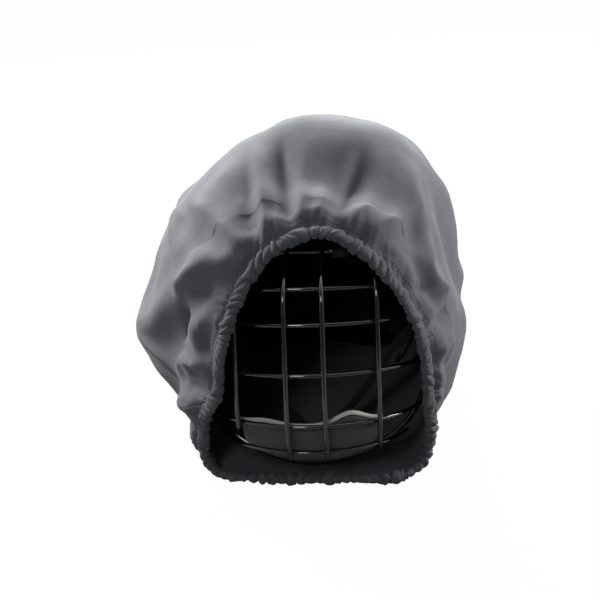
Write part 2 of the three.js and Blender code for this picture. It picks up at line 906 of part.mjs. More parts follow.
for (const side in sides) {
  const seat = screw.seat_height + running_gap;
  const clip_screw = screwSolid(clipScrewPoint(side), screw, seat, screw.reach);
  addMesh(worn, `cage_clip_screw_${side}`, toGeometry(clip_screw), 'screw_steel');

  const [upper, lower] = adjusterPoints(side);
  const nut_inner = rear_offset + shell.wall + running_gap;
  for (const [name, point] of [['upper', upper], ['lower', lower]]) {
    const solid = screwSolid(point, adjuster, adjuster.head_gap, nut_inner + adjuster.nut_height / 2);
    addMesh(worn, `adjuster_screw_${side}_${name}`, toGeometry(solid), 'screw_steel');
    const out = domeNormal(point);
    const nut_at = point.clone().addScaledVector(out, -nut_inner - adjuster.nut_height);
    const bore = peg(nut_at, out, adjuster.shank_radius + running_gap, cut_overrun, cut_overrun);
    const disc = peg(nut_at, out, adjuster.nut_radius, 0, adjuster.nut_height + running_gap);
    const nut = cut(disc, bore).intersect(dome(nut_inner));
    addMesh(worn, `tee_nut_${side}_${name}`, toGeometry(nut), 'screw_steel');
  }
}

// Cage surface: depth and half width read from the named heights, with a layer for each kind of wire

function readAlong(keys, values, at) {
  const last = keys.length - 1;
  if (at <= keys[0]) return values[0];
  if (at >= keys[last]) return values[last];
  const k = keys.findIndex((key) => key >= at) - 1;
  const step = keys[k + 1] - keys[k];
  const t = (at - keys[k]) / step;
  const slope = (i) => {
    const low = Math.max(0, i - 1);
    const top = Math.min(last, i + 1);
    return (values[top] - values[low]) / (keys[top] - keys[low]);
  };
  const t2 = t * t;
  const t3 = t2 * t;
  return (
    (2 * t3 - 3 * t2 + 1) * values[k] +
    (t3 - 2 * t2 + t) * step * slope(k) +
    (3 * t2 - 2 * t3) * values[k + 1] +
    (t3 - t2) * step * slope(k + 1)
  );
}

const cage_up_sizes = cage_rows.map((row) => row.up);
const cage_forward_sizes = cage_rows.map((row) => shell_front - row.ahead);
const cage_half_width_sizes = cage_rows.map((row) => shell.half_width - row.side_in);
const cage_half_width = Math.max(...cage_half_width_sizes);
const hinge_forward = shell_front - cage.hinge_ahead;

function cageSize(up) {
  return {
    half_width: readAlong(cage_up_sizes, cage_half_width_sizes, up),
    depth: cage.centre_back - readAlong(cage_up_sizes, cage_forward_sizes, up),
  };
}

function cageByAngle(angle, up, layer) {
  const at = (turn, height) => {
    const size = cageSize(height);
    const across = size.half_width * Math.sin(turn);
    return new THREE.Vector3(across, cage.centre_back - size.depth * Math.cos(turn), height);
  };
  const small_angle_share = 0.01;
  const small_rise = cage.bar_radius / 4;
  const round = at(angle + small_angle_share, up).sub(at(angle - small_angle_share, up));
  const rise = at(angle, up + small_rise).sub(at(angle, up - small_rise));
  const normal = new THREE.Vector3().crossVectors(round, rise).normalize();
  return at(angle, up).addScaledVector(normal, layer);
}

function cageByAcross(across, up, layer) {
  const angle = Math.asin(Math.max(-1, Math.min(1, across / cageSize(up).half_width)));
  return cageByAngle(angle, up, layer);
}

const bar_layer = cage.frame_radius + cage.bar_radius + cage.weld_gap;
const post_layer = bar_layer + cage.bar_radius + cage.post_radius + cage.weld_gap * 2;
const post_end_layer = cage.frame_radius + cage.post_radius + cage.weld_gap;

function framePoints() {
  const low = cage_up_sizes[0];
  const side = frame_angle_shares.map((share, i) => {
    const up = mix(low, cage.hinge_up, frame_up_shares[i]);
    return cageByAngle((share * Math.PI) / 2, up, 0);
  });
  const mirrored = side.map((point) => new THREE.Vector3(-point.x, point.y, point.z)).reverse();
  const straight = [-1, -0.5, 0, 0.5, 1].map(
    (share) => new THREE.Vector3(share * cage.clip_span, hinge_forward, cage.hinge_up),
  );
  return [...straight, ...side, cageByAngle(0, low, 0), ...mirrored];
}
const frame_curve = new THREE.CatmullRomCurve3(framePoints(), true, 'centripetal');
const frame_wire = sweep(frame_curve, roundOutline(cage.frame_radius, wire_sides), frame_steps, true);
addMesh(worn, 'cage_frame', frame_wire, 'cage_enamel');

// Where the frame passes a height on its way down the side
function frameAngle(up) {
  const low = cage_up_sizes[0];
  const shares = [...frame_up_shares].reverse();
  const angles = [...frame_angle_shares].reverse();
  const share = (up - low) / (cage.hinge_up - low);
  return (readAlong(shares, angles, share) * Math.PI) / 2;
}

for (const [name, up] of Object.entries(cage_bars)) {
  const end = frameAngle(up) + cage.frame_radius / cageSize(up).half_width;
  const points = Array.from({ length: bar_steps + 1 }, (_, i) => {
    return cageByAngle(mix(-end, end, i / bar_steps), up, bar_layer);
  });
  const curve = new THREE.CatmullRomCurve3(points);
  addMesh(worn, name, sweep(curve, roundOutline(cage.bar_radius, wire_sides), bar_steps), 'cage_enamel');
}

// Where the frame's top passes a place across
const frame_samples = frame_curve.getPoints(frame_steps * 6);
function frameTop(across) {
  const upper = frame_samples.filter((point) => point.z > cage_bars.eye_bar);
  const apart = (point) => Math.abs(point.x - across);
  return upper.reduce((best, point) => (apart(point) < apart(best) ? point : best));
}

for (const [name, post] of Object.entries(cage_posts)) {
  const across = post.across_share * cage_half_width;
  const top = frameTop(across);
  const end = cageByAcross(across, top.z, 0);
  const outwards = cageByAcross(across, top.z, 1).sub(end);
  const top_end = top.clone().addScaledVector(outwards, post_end_layer);
  const points = Array.from({ length: post_steps + 1 }, (_, i) => {
    const up = mix(post.from, top.z, i / post_steps);
    const near_top = smooth((up - cage_bars.brow_bar) / (top.z - cage_bars.brow_bar));
    return cageByAcross(across, up, post_layer).lerp(top_end, near_top ** 2);
  });
  const curve = new THREE.CatmullRomCurve3(points);
  addMesh(worn, name, sweep(curve, roundOutline(cage.post_radius, wire_sides), post_steps), 'cage_enamel');
}

// Chin cup: a crowned pad on the back of the lower wires, with two lobes on its top edge and piping along it
const cup_layer = bar_layer - cage.bar_radius - running_gap;
const cup_half_width = chin_cup.half_width_share * cage_half_width;

function cupTop(share) {
  const lobe = Math.exp(-(((Math.abs(share) - chin_cup.lobe_place_share) / chin_cup.lobe_width_share) ** 2));
  return chin_cup.top + (share > 0 ? 1 : chin_cup.left_lobe_share) * chin_cup.lobe_rise * lobe;
}

function cupBottom(share) {
  return chin_cup.bottom + chin_cup.bottom_rise * Math.abs(share) ** 3;
}

function cupPoint(share, rise_share, depth) {
  const up = mix(cupBottom(share), cupTop(share), rise_share);
  return cageByAcross(share * cup_half_width, up, cup_layer - depth);
}

function chinCup() {
  const outer = [];
  const inner = [];
  for (let i = 0; i <= cup_steps; i++) {
    const share = mix(-1, 1, i / cup_steps);
    const outer_row = [];
    const inner_row = [];
    for (let k = 0; k <= cup_rows; k++) {
      const rise = k / cup_rows;
      const middle_share = mix(-1, 1, rise);
      const crown = Math.sqrt(Math.max(0, 1 - middle_share ** 4)) * Math.sqrt(Math.max(0, 1 - share ** 6));
      const thick = mix(chin_cup.edge_thickness, chin_cup.thickness, crown);
      outer_row.push(cupPoint(share, rise, 0));
      inner_row.push(cupPoint(share, rise, thick));
    }
    outer.push(outer_row);
    inner.push(inner_row);
  }
  return wall(outer, inner, false);
}
addMesh(worn, 'chin_cup', chinCup(), 'pad_cloth');

function chinCupPiping() {
  const depth = chin_cup.piping_radius + running_gap;
  const lift = chin_cup.piping_radius + running_gap * 2;
  const points = Array.from({ length: cup_steps + 1 }, (_, i) => {
    const point = cupPoint(mix(-1, 1, i / cup_steps), 1, depth);
    point.z += lift;
    return point;
  });
  const outline = roundOutline(chin_cup.piping_radius, wire_sides);
  return sweep(new THREE.CatmullRomCurve3(points), outline, cup_steps);
}
addMesh(worn, 'chin_cup_piping', chinCupPiping(), 'piping_cord');

// Brow clips: a block on the shell with a bore that the frame's top wire turns in

function browClip(side) {
  const across = sides[side] * clip.across;
  const bore_radius = cage.frame_radius + clip.bore_clearance;
  const ring = bore_radius + clip.wall;
  const outline = [];
  for (let i = 0; i <= clip_arc_steps; i++) {
    const degrees = mix(clip.wrap_from_degrees, clip.wrap_to_degrees, i / clip_arc_steps);
    const turn = THREE.MathUtils.degToRad(degrees);
    outline.push([hinge_forward + ring * Math.cos(turn), cage.hinge_up + ring * Math.sin(turn)]);
  }
  const top = cage.hinge_up + clip.plate_height;
  const deep = shell.half_length / 2;
  outline.push([hinge_forward + deep, cage.hinge_up - ring]);
  outline.push([hinge_forward + deep, top]);
  outline.push([domeForward(-clip.plate_thickness, clip.across, top), top]);
  const block = sideBar(outline, across - clip.width / 2, across + clip.width / 2);
  const bore_at = new THREE.Vector3(across, hinge_forward, cage.hinge_up);
  const bore = peg(bore_at, new THREE.Vector3(1, 0, 0), bore_radius, clip.width, clip.width);
  const point = clipScrewPoint(side);
  const out = domeNormal(point);
  const seat_at = point.clone().addScaledVector(out, screw.seat_height);
  const seat = peg(seat_at, out, screw.head_radius + running_gap, 0, cut_overrun);
  const before_temple = rectangle(hinge_forward - cut_overrun, temple_front, 0, high);
  const hole = screwHole(point, screw.shank_radius);
  return cut(block, dome(-running_gap), bore, seat, hole).intersect(sideBar(before_temple, -wide, wide));
}
for (const side in sides) addMesh(worn, `cage_clip_${side}`, toGeometry(browClip(side)), 'clip_plastic');

// Straps: flat ribbons through chosen points, with their width kept square to a given direction

function ribbon(points, width_directions, width, thickness) {
  const curve = new THREE.CatmullRomCurve3(points, false, 'centripetal');
  const across = new THREE.CatmullRomCurve3(width_directions, false, 'centripetal');
  const outer = [];
  const inner = [];
  for (let i = 0; i <= strap_steps; i++) {
    const share = i / strap_steps;
    const along = curve.getTangent(share);
    const out = new THREE.Vector3().crossVectors(along, across.getPoint(share)).normalize();
    const wide_way = new THREE.Vector3().crossVectors(out, along).normalize();
    const corner = (a, b) => {
      const centre = curve.getPoint(share);
      return centre.addScaledVector(wide_way, (a * width) / 2).addScaledVector(out, (b * thickness) / 2);
    };
    outer.push([corner(-1, 1), corner(1, 1)]);
    inner.push([corner(-1, -1), corner(1, -1)]);
  }
  return wall(outer, inner, false);
}

// The frame's side wire at a height, and the way it runs there
function frameSide(side, up) {
  const on_side = (point) => point.x * sides[side] > 0;
  let best = 1;
  for (let i = 1; i < frame_samples.length - 1; i++) {
    const point = frame_samples[i];
    const off = (sample) => (on_side(sample) ? Math.abs(sample.z - up) : Infinity);
    if (off(point) < off(frame_samples[best])) best = i;
  }
  const wire_way = frame_samples[best + 1].clone().sub(frame_samples[best - 1]).normalize();
  if (wire_way.z < 0) wire_way.negate();
  return { wire: frame_samples[best].clone(), wire_way };
}

// The snap's cap and socket hold the strap between them, and the socket sits over a stud riveted in the shell
const snap_seat = running_gap * 2 + strap.socket_height + strap.thickness / 2;

function snapCap(side) {
  const point = snapPoint(side);
  const out = domeNormal(point);
  const socket_at = point.clone().addScaledVector(out, running_gap);
  const cap_at = point.clone().addScaledVector(out, snap_seat + strap.thickness / 2 + running_gap * 2);
  const socket = peg(socket_at, out, strap.socket_radius, 0, strap.socket_height);
  const neck = peg(socket_at, out, screw.shank_radius, 0, snap_seat + strap.thickness);
  const cap = peg(cap_at, out, strap.snap_radius, 0, strap.snap_height);
  const bore_radius = rivet.shank_radius + running_gap;
  const bore = peg(socket_at, out, bore_radius, running_gap, strap.stud_reach + running_gap);
  return cut(socket.add(neck).add(cap), bore);
}

function snapStud(side) {
  const point = snapPoint(side);
  const out = domeNormal(point);
  const tail_depth = shell.wall + running_gap + rivet.head_height;
  const tail_at = point.clone().addScaledVector(out, -tail_depth);
  const post = peg(tail_at, out, rivet.shank_radius, 0, tail_depth + running_gap + strap.stud_reach);
  const column = peg(tail_at, out, strap.stud_tail_radius, 0, cut_overrun);
  return post.add(column.intersect(dome(shell.wall + running_gap)));
}

// Each cage strap hooks round the frame's side wire and runs back over the shell to its snap
for (const side in sides) {
  const way = sides[side];
  const { wire, wire_way } = frameSide(side, strap.wire_up);
  const stand_off = cage.frame_radius + strap.thickness / 2 + strap.wire_clearance;
  const snap = snapPoint(side);
  const snap_out = domeNormal(snap);
  const points = [
    new THREE.Vector3(wire.x - way * stand_off, wire.y + stand_off / 2, wire.z),
    new THREE.Vector3(wire.x - way * stand_off / 2, wire.y - stand_off, wire.z),
    new THREE.Vector3(wire.x + way * stand_off, wire.y - stand_off / 3, wire.z),
    new THREE.Vector3(wire.x + way * stand_off, wire.y + stand_off * 2, wire.z + stand_off / 2),
    ...strap_shares.map((share) => {
      const up = shell.ear_up + strap.snap_rise + (share * strap.width) / 2;
      const on_shell = domePoint(side, strap.snap_back + share * strap.width, up);
      return on_shell.addScaledVector(domeNormal(on_shell), snap_seat);
    }),
  ];
  const on_snap = new THREE.Vector3(0, -0.5, 1);
  const directions = points.map((point) => (point.y < wire.y ? wire_way.clone() : on_snap.clone()));
  const webbing = toSolid(ribbon(points, directions, strap.width, strap.thickness));
  const hole = peg(snap, snap_out, screw.shank_radius + screw.hole_clearance, cut_overrun, cut_overrun);
  addMesh(worn, `cage_strap_${side}`, toGeometry(cut(webbing, hole)), 'strap_webbing');
  addMesh(worn, `cage_strap_snap_${side}`, toGeometry(snapCap(side)), 'screw_steel');
  addMesh(worn, `cage_strap_stud_${side}`, toGeometry(snapStud(side)), 'screw_steel');
}

// The chin strap hangs from the ear guards and passes under the chin
const strap_inset = guard_inner + running_gap * 2 + chin_strap.thickness;
const anchor_low = anchor_up - chin_strap.anchor_drop - chin_strap.anchor_radius;
const anchor_across = domeHalfWidth(strap_inset, ear_guard.front, anchor_low);

function chinStrap() {
  const low_up = cage_up_sizes[1];
  const low_back = anchor_back - chin_strap.low_forward;
  const right = chin_strap_shares.map(([down, inward]) => {
    return new THREE.Vector3(
      mix(anchor_across, 0, inward),
      mix(anchor_back, low_back, down),
      mix(anchor_up, low_up, down),
    );
  });
  const left = right.slice(0, -1).reverse().map((point) => new THREE.Vector3(-point.x, point.y, point.z));
  const points = [...right, ...left];
  const directions = points.map(() => new THREE.Vector3(0, 1, 0.3));
  return cut(
    toSolid(ribbon(points, directions, chin_strap.width, chin_strap.thickness)),
    anchorHole('left'),
    anchorHole('right'),
  );
}
addMesh(worn, 'chin_strap', toGeometry(chinStrap()), 'strap_webbing');

// Each anchor has a button inside the strap, a shank through strap and guard, and a head outside the guard
function chinStrapAnchor(side) {
  const button_across = anchor_across - chin_strap.thickness - chin_strap.anchor_height;
  const button = anchorPeg(side, button_across, chin_strap.anchor_radius, chin_strap.anchor_height);
  const guard_side = dome(guard_outer - running_gap - rivet.head_height);
  const shank = anchorPeg(side, button_across, rivet.shank_radius, wide).intersect(guard_side);
  const head = anchorPeg(side, button_across, rivet.head_radius, wide)
    .intersect(guard_side)
    .subtract(dome(guard_outer - running_gap));
  return button.add(shank).add(head);
}
for (const side in sides) {
  addMesh(worn, `chin_strap_anchor_${side}`, toGeometry(chinStrapAnchor(side)), 'screw_steel');
}

// Lean the worn helmet back so that its chin wire and its nape edge rest on the cover's base
const chin_point = cageByAngle(0, cage_up_sizes[0], 0);
const chin_height = cover.cloth + rest_gap + cage.frame_radius;
worn.position.set(
  0,
  chin_wire_forward - chin_point.y * Math.cos(lean) - chin_point.z * Math.sin(lean),
  chin_height + chin_point.y * Math.sin(lean) - chin_point.z * Math.cos(lean),
);

// Fabric cover

// Its outer size follows the leant helmet, with room to hang loose on each side
const [lean_cos, lean_sin] = [Math.cos(lean), Math.sin(lean)];
const top_reach = Math.hypot(shell.half_length * lean_sin, shell.crown_height * lean_cos);
const back_reach = Math.hypot(shell.half_length * lean_cos, shell.crown_height * lean_sin);
const dome_up = worn.position.z - shell.centre_back * lean_sin + shell.centre_up * lean_cos;
const dome_back = worn.position.y + shell.centre_back * lean_cos + shell.centre_up * lean_sin;
const bag = {
  half_width_left: shell.half_width + cover.left_room,
  half_width_right: shell.half_width + cover.right_room,
  height: dome_up + top_reach + cover.top_room,
  back: dome_back + back_reach + cover.rear_room,
};
const mouth_half_width = shell.half_width - mouth.side_in;

function catmull(p0, p1, p2, p3, t) {
  const blend = (a, b, c, d) => {
    const square = 2 * a - 5 * b + 4 * c - d;
    const cube = 3 * b - a - 3 * c + d;
    return (2 * b + (c - a) * t + square * t ** 2 + cube * t ** 3) / 2;
  };
  return new THREE.Vector3(
    blend(p0.x, p1.x, p2.x, p3.x),
    blend(p0.y, p1.y, p2.y, p3.y),
    blend(p0.z, p1.z, p2.z, p3.z),
  );
}

const mouth_line = new THREE.CatmullRomCurve3(
  mouth_shares.map(([across, forward, up]) => {
    return new THREE.Vector3(across * mouth_half_width, forward * mouth.reach, up * mouth.height);
  }),
  true,
  'centripetal',
);

function mouthTurn(point) {
  const up = point.z - mouth.centre_up;
  const rise = up > 0 ? mouth.height - mouth.centre_up : mouth.centre_up;
  const turn = Math.atan2(up / rise, (point.x - mouth.centre_across) / mouth_half_width) / (2 * Math.PI);
  return (turn + 1) % 1;
}

// The mouth's line as points sorted by their turn round its centre
const mouth_samples = mouth_line
  .getPoints(mouth_sample_count)
  .slice(1)
  .map((point) => ({ point, turn: mouthTurn(point) }))
  .sort((a, b) => a.turn - b.turn);

function mouthPoint(turn) {
  const t = ((turn % 1) + 1) % 1;
  const count = mouth_samples.length;
  let k = mouth_samples.findIndex((sample) => sample.turn > t);
  if (k < 0) k = 0;
  const after = mouth_samples[k];
  const before = mouth_samples[(k + count - 1) % count];
  const span = (after.turn - before.turn + 1) % 1;
  const share = ((t - before.turn + 1) % 1) / span;
  return before.point.clone().lerp(after.point, share);
}

function sectionPoint(section, turn) {
  const angle = 2 * Math.PI * turn;
  const [c, s] = [Math.cos(angle), Math.sin(angle)];
  const [upper_left, upper_right, lower] = section.round_shares;
  const power = s < 0 ? lower : c > 0 ? upper_right : upper_left;
  const reach = (Math.abs(c) ** power + Math.abs(s) ** power) ** (-1 / power);
  const half_width = c > 0 ? section.right * bag.half_width_right : section.left * bag.half_width_left;
  const low = section.low * bag.height;
  const above = section.up * bag.height - cover.widest_up;
  const rise = s > 0 ? above : (cover.widest_up - low) * cover.underside_share;
  const up = Math.max(low, cover.widest_up + rise * s * reach);
  return new THREE.Vector3(
    half_width * c * reach,
    mix(-mouth.reach, bag.back, section.back) + section.lean * (up - cover.widest_up),
    up,
  );
}

const rear_point = new THREE.Vector3(
  rear_point_shares.across * bag.half_width_left,
  bag.back,
  rear_point_shares.up * bag.height,
);
const last_run = section_shares.length + 1;

function coverLine(k, turn) {
  if (k <= 0) return mouthPoint(turn);
  if (k >= last_run) return rear_point.clone();
  return sectionPoint(section_shares[k - 1], turn);
}

function coverBase(turn, run) {
  const k = Math.min(last_run - 1, Math.max(0, Math.floor(run)));
  const lines = [k - 1, k, k + 1, k + 2].map((i) => coverLine(i, turn));
  if (k === 0) lines[0] = lines[1].clone().add(lines[1]).sub(lines[2]);
  if (k + 2 > last_run) lines[3] = lines[2].clone().add(lines[2]).sub(lines[1]);
  const point = catmull(...lines, run - k);
  const flat_edge = 1 - smooth((mouthPoint(turn).z / mouth.height - floor_shares.edge) / floor_shares.blend);
  point.z *= 1 - flat_edge * smooth(run / floor_shares.drop_run);
  point.z = Math.max(0, point.z);
  return point;
}

const small_turn_share = 0.004;
const small_run_share = 0.02;
function coverNormal(turn, run) {
  const ahead = Math.min(last_run, run + small_run_share);
  const behind = Math.max(0, run - small_run_share);
  const along = coverBase(turn, ahead).sub(coverBase(turn, behind));
  const round = coverBase(turn + small_turn_share, run).sub(coverBase(turn - small_turn_share, run));
  return new THREE.Vector3().crossVectors(along, round).normalize();
}

function riseAndFade(runs, run) {
  return smooth(run / runs.full) * (1 - smooth((run - runs.fade_from) / (runs.fade_to - runs.fade_from)));
}

const centred = (row) => ({ ...row, centre: coverBase(...row.place_shares) });
const swells = bag_swells.map(centred);
const hollows = collar_hollows.map(centred);
const folds = bag_folds.map((fold) => {
  const places = fold.line_shares.map(([turn, run]) => new THREE.Vector3(turn, run, 0));
  const line = new THREE.CatmullRomCurve3(places, false, 'centripetal').getPoints(fold_steps);
  return { ...fold, points: line.map((place) => coverBase(place.x, place.y)) };
});

function bell(point, { centre, radius }) {
  return Math.exp(-((point.distanceTo(centre) / radius) ** 2));
}

// How far the slack cloth stands off the plain bag: folds are sharp at their crest and fade at their ends
function slackRise(point) {
  let rise = swells.reduce((sum, swell) => sum + swell.high * bell(point, swell), 0);
  for (const { points, high: height, wide: half_width } of folds) {
    const distances = points.map((at) => at.distanceTo(point));
    const nearest = Math.min(...distances);
    const along = (distances.indexOf(nearest) + 1) / (fold_steps + 2);
    rise += (height * Math.sqrt(Math.sin(Math.PI * along))) / Math.cosh((2 * nearest) / half_width);
  }
  return rise;
}

// The slack fades out near the floor and at the gathered mouth
function coverOuter(turn, run) {
  const base = coverBase(turn, run);
  const off_floor = smooth(base.z / cover.floor_blend);
  const off_mouth = smooth(base.distanceTo(mouthPoint(turn)) / cover.gather_run);
  const fall = off_mouth * hollows.reduce((sum, hollow) => sum + hollow.back * bell(base, hollow), 0);
  const puffed = cover.puff * riseAndFade(puff_run_shares, run);
  const slack = off_floor * (puffed + off_mouth * slackRise(base));
  const point = base.addScaledVector(coverNormal(turn, run), slack);
  point.y += fall;
  point.z = Math.max(0, point.z);
  return point;
}

function coverInner(turn, run) {
  const outer = coverOuter(turn, run);
  const inner = outer.clone().addScaledVector(coverNormal(turn, run), -cover.cloth);
  inner.z = Math.max(cover.cloth, inner.z);
  return inner;
}

const seam_turn = cover.seam_gap / (2 * (bag.half_width_left + bag.height));
const seam_run = cover.seam_gap / (bag.back / 2);

function coverPanel(turn_from, turn_to, run_from, run_to, turn_steps, run_steps) {
  const grid = (read) => {
    return Array.from({ length: turn_steps + 1 }, (_, i) => {
      const turn = mix(turn_from + seam_turn, turn_to - seam_turn, i / turn_steps);
      return Array.from({ length: run_steps + 1 }, (_, k) => {
        return read(turn, mix(run_from + seam_run, run_to - seam_run, k / run_steps));
      });
    });
  };
  return wall(grid(coverOuter), grid(coverInner), false);
}

function middlePanel(from, to) {
  const steps = Math.round((to - from) * cover_steps);
  return coverPanel(from, to, seam_shares.collar_run, seam_shares.rear_run, steps, middle_runs);
}
const crown_panel = middlePanel(seam_shares.right_high_turn, seam_shares.left_high_turn);
const left_panel = middlePanel(seam_shares.left_high_turn, seam_shares.left_low_turn);
const base_panel = middlePanel(seam_shares.left_low_turn, 1 + seam_shares.right_low_turn);
const right_panel = middlePanel(seam_shares.right_low_turn, seam_shares.right_high_turn);
addMesh(parts, 'cover_crown_panel', crown_panel, 'cover_cloth');
addMesh(parts, 'cover_left_panel', left_panel, 'cover_cloth');
addMesh(parts, 'cover_base_panel', base_panel, 'cover_cloth');
addMesh(parts, 'cover_right_panel', right_panel, 'cover_cloth');

function ringGrid(read, steps, runs) {
  return Array.from({ length: steps }, (_, i) => runs(i / steps).map((run) => read(i / steps, run)));
}

function rearPanel() {
  const runs = () => Array.from({ length: end_runs + 1 }, (_, k) => {
    return mix(seam_shares.rear_run + seam_run, last_run, k / end_runs);
  });
  const outer = ringGrid(coverOuter, cover_steps, runs);
  const inner = ringGrid(coverInner, cover_steps, runs);
  const inner_pole = rear_point.clone().add(new THREE.Vector3(0, -cover.cloth, 0));
  for (const row of outer) row[end_runs] = rear_point.clone();
  for (const row of inner) row[end_runs] = inner_pole.clone();
  return wall(outer, inner, true, true, false);
}
addMesh(parts, 'cover_rear_panel', rearPanel(), 'cover_cloth');

// The collar is gathered onto the casing, and starts just clear of it
const collar_start = mouth.casing_radius + mouth.ruffle + cover.seam_gap * 5;
function collar() {
  const runs = (turn) => {
    const length = mouthPoint(turn).distanceTo(coverLine(1, turn));
    const start = collar_start / length;
    return Array.from({ length: end_runs + 1 }, (_, k) => {
      return mix(start, seam_shares.collar_run - seam_run, k / end_runs);
    });
  };
  return wall(ringGrid(coverOuter, mouth_steps, runs), ringGrid(coverInner, mouth_steps, runs), true);
}
addMesh(parts, 'cover_mouth_collar', collar(), 'cover_cloth');

// The casing is a channel rolled from the collar's edge, open towards the helmet, with the elastic in it
function mouthFrame(turn) {
  const centre = mouthPoint(turn);
  const back = coverBase(turn, small_run_share * 6).sub(coverBase(turn, 0)).normalize();
  const along = mouthPoint(turn + small_turn_share).sub(mouthPoint(turn - small_turn_share)).normalize();
  const out = new THREE.Vector3().crossVectors(back, along).normalize();
  const flat_back = new THREE.Vector3().crossVectors(along, out).normalize();
  return { centre, out, flat_back };
}

function casing() {
  const opening = THREE.MathUtils.degToRad(mouth.slit_half_angle_degrees);
  const outer = [];
  const inner = [];
  for (let i = 0; i < mouth_steps; i++) {
    const turn = i / mouth_steps;
    const { centre, out, flat_back } = mouthFrame(turn);
    const ruffle = mouth.ruffle * Math.cos(2 * Math.PI * mouth.ruffle_count * turn);
    const ring = (radius) => {
      return Array.from({ length: casing_arc_steps + 1 }, (_, k) => {
        const angle = mix(-Math.PI / 2 + opening, (3 * Math.PI) / 2 - opening, k / casing_arc_steps);
        const point = centre.clone()
          .addScaledVector(flat_back, radius * Math.cos(angle))
          .addScaledVector(out, radius * Math.sin(angle));
        point.z = Math.max(0, point.z);
        return point;
      });
    };
    outer.push(ring(mouth.casing_radius + ruffle));
    inner.push(ring(mouth.casing_bore));
  }
  return wall(outer, inner, true);
}
addMesh(parts, 'cover_mouth_casing', casing(), 'cover_cloth');

function elastic() {
  const points = [];
  const triangles = [];
  const outline = roundOutline(mouth.elastic_radius, wire_sides);
  for (let i = 0; i < mouth_steps; i++) {
    const { centre, out, flat_back } = mouthFrame(i / mouth_steps);
    for (const [a, b] of outline) {
      points.push(centre.clone().addScaledVector(flat_back, a).addScaledVector(out, b));
    }
  }
  for (let i = 0; i < mouth_steps; i++) {
    for (let k = 0; k < wire_sides; k++) {
      const next = (k + 1) % wire_sides;
      const ahead = ((i + 1) % mouth_steps) * wire_sides;
      const here = i * wire_sides;
      triangles.push(here + k, here + next, ahead + next, here + k, ahead + next, ahead + k);
    }
  }
  return closedGeometry(points, triangles);
}
addMesh(parts, 'cover_elastic', elastic(), 'elastic_rubber');

export default parts;
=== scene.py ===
import json
import math

import bmesh
import bpy
import numpy as np
from mathutils import Matrix, Vector

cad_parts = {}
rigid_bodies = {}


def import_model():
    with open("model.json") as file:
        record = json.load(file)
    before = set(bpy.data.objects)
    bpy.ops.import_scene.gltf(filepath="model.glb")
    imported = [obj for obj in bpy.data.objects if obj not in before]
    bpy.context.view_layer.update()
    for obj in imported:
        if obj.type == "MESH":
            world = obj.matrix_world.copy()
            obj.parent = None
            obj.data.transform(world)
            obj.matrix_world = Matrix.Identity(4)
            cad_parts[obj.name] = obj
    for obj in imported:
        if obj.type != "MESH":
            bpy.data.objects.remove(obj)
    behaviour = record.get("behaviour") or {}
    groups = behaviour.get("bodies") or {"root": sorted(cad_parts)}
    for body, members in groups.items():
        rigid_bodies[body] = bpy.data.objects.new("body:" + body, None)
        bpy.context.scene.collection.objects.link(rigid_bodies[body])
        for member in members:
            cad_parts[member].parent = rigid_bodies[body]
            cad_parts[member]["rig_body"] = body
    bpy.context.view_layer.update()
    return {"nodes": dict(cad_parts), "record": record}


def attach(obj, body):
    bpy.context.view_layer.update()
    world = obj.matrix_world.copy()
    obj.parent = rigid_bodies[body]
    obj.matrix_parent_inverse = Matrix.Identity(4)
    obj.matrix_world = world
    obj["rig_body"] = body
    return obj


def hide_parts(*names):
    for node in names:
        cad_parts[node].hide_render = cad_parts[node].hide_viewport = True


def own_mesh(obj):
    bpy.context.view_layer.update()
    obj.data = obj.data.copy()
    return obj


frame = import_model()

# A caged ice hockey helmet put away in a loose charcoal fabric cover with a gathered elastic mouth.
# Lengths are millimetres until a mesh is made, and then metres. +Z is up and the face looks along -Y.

MM = 0.001

# Sizes, in millimetres, the same as the part's own

LEAN = math.radians(16)
CHIN_WIRE_FORWARD = -124
GAP = 0.3
SHELL = dict(across=112, along=134, crown=118, skirt=150, back=16, up=165)

CAGE_BACK = -50
FRAME_RADIUS, BAR_RADIUS, POST_RADIUS = 2.2, 1.7, 2.0
WELD_GAP = 0.3
HINGE_FORWARD, HINGE_UP, CLIP_SPAN = -124, 187, 36
CAGE_UPS = [8.5, 22, 36.5, 60, 99.5, 137, 161, 187]
CAGE_FORWARDS = [-95, -119, -144, -158, -162, -161, -156, -124]
CAGE_WIDTHS = [52, 66, 80, 92, 100, 103, 103, 103]
FRAME_ANGLES = [0.5, 0.72, 0.88, 0.94, 0.9, 0.78, 0.56, 0.3]
FRAME_UPS = [0.975, 0.9, 0.77, 0.58, 0.37, 0.2, 0.08, 0.02]
BARS = dict(brow_bar=161, eye_bar=137, nose_bar=99.5, mouth_bar=60, jaw_bar=36.5)
POSTS = dict(
    post_left_outer=(-83, 60), post_left=(-49, 58), post_centre_left=(-13, 36.5),
    post_centre_right=(13, 36.5), post_right=(50, 36.5), post_right_outer=(83, 60),
)
CUP = dict(half_width=52, thick=10, edge=3, bottom=14, bottom_rise=22, top=56, lobe=9,
           lobe_place=0.62, lobe_width=0.28, left_lobe=0.35, piping=1.7, rounding=1.4)
CUP_CLOTH = (0.08, 0.05)

# The straps as the part has them: the cage straps hook round the frame's sides, the chin strap passes under
STRAP = dict(width=18, thick=1.8, snap_back=-22, snap_up=140, wire_up=112, clearance=1.8, seat=3.5)
STRAP_SHARES = [-1, -0.45, 0, 0.45]
CHIN_STRAP = dict(width=16, thick=1.8, back=-22, up=128.5, low_back=-61, low_up=22,
                  inset=12.8, guard_front=-30, anchor_low=113.5)
CHIN_STRAP_SHARES = [(0, 0), (0.16, 0.01), (0.34, 0.2), (0.62, 0.46), (0.88, 0.76), (1, 1)]

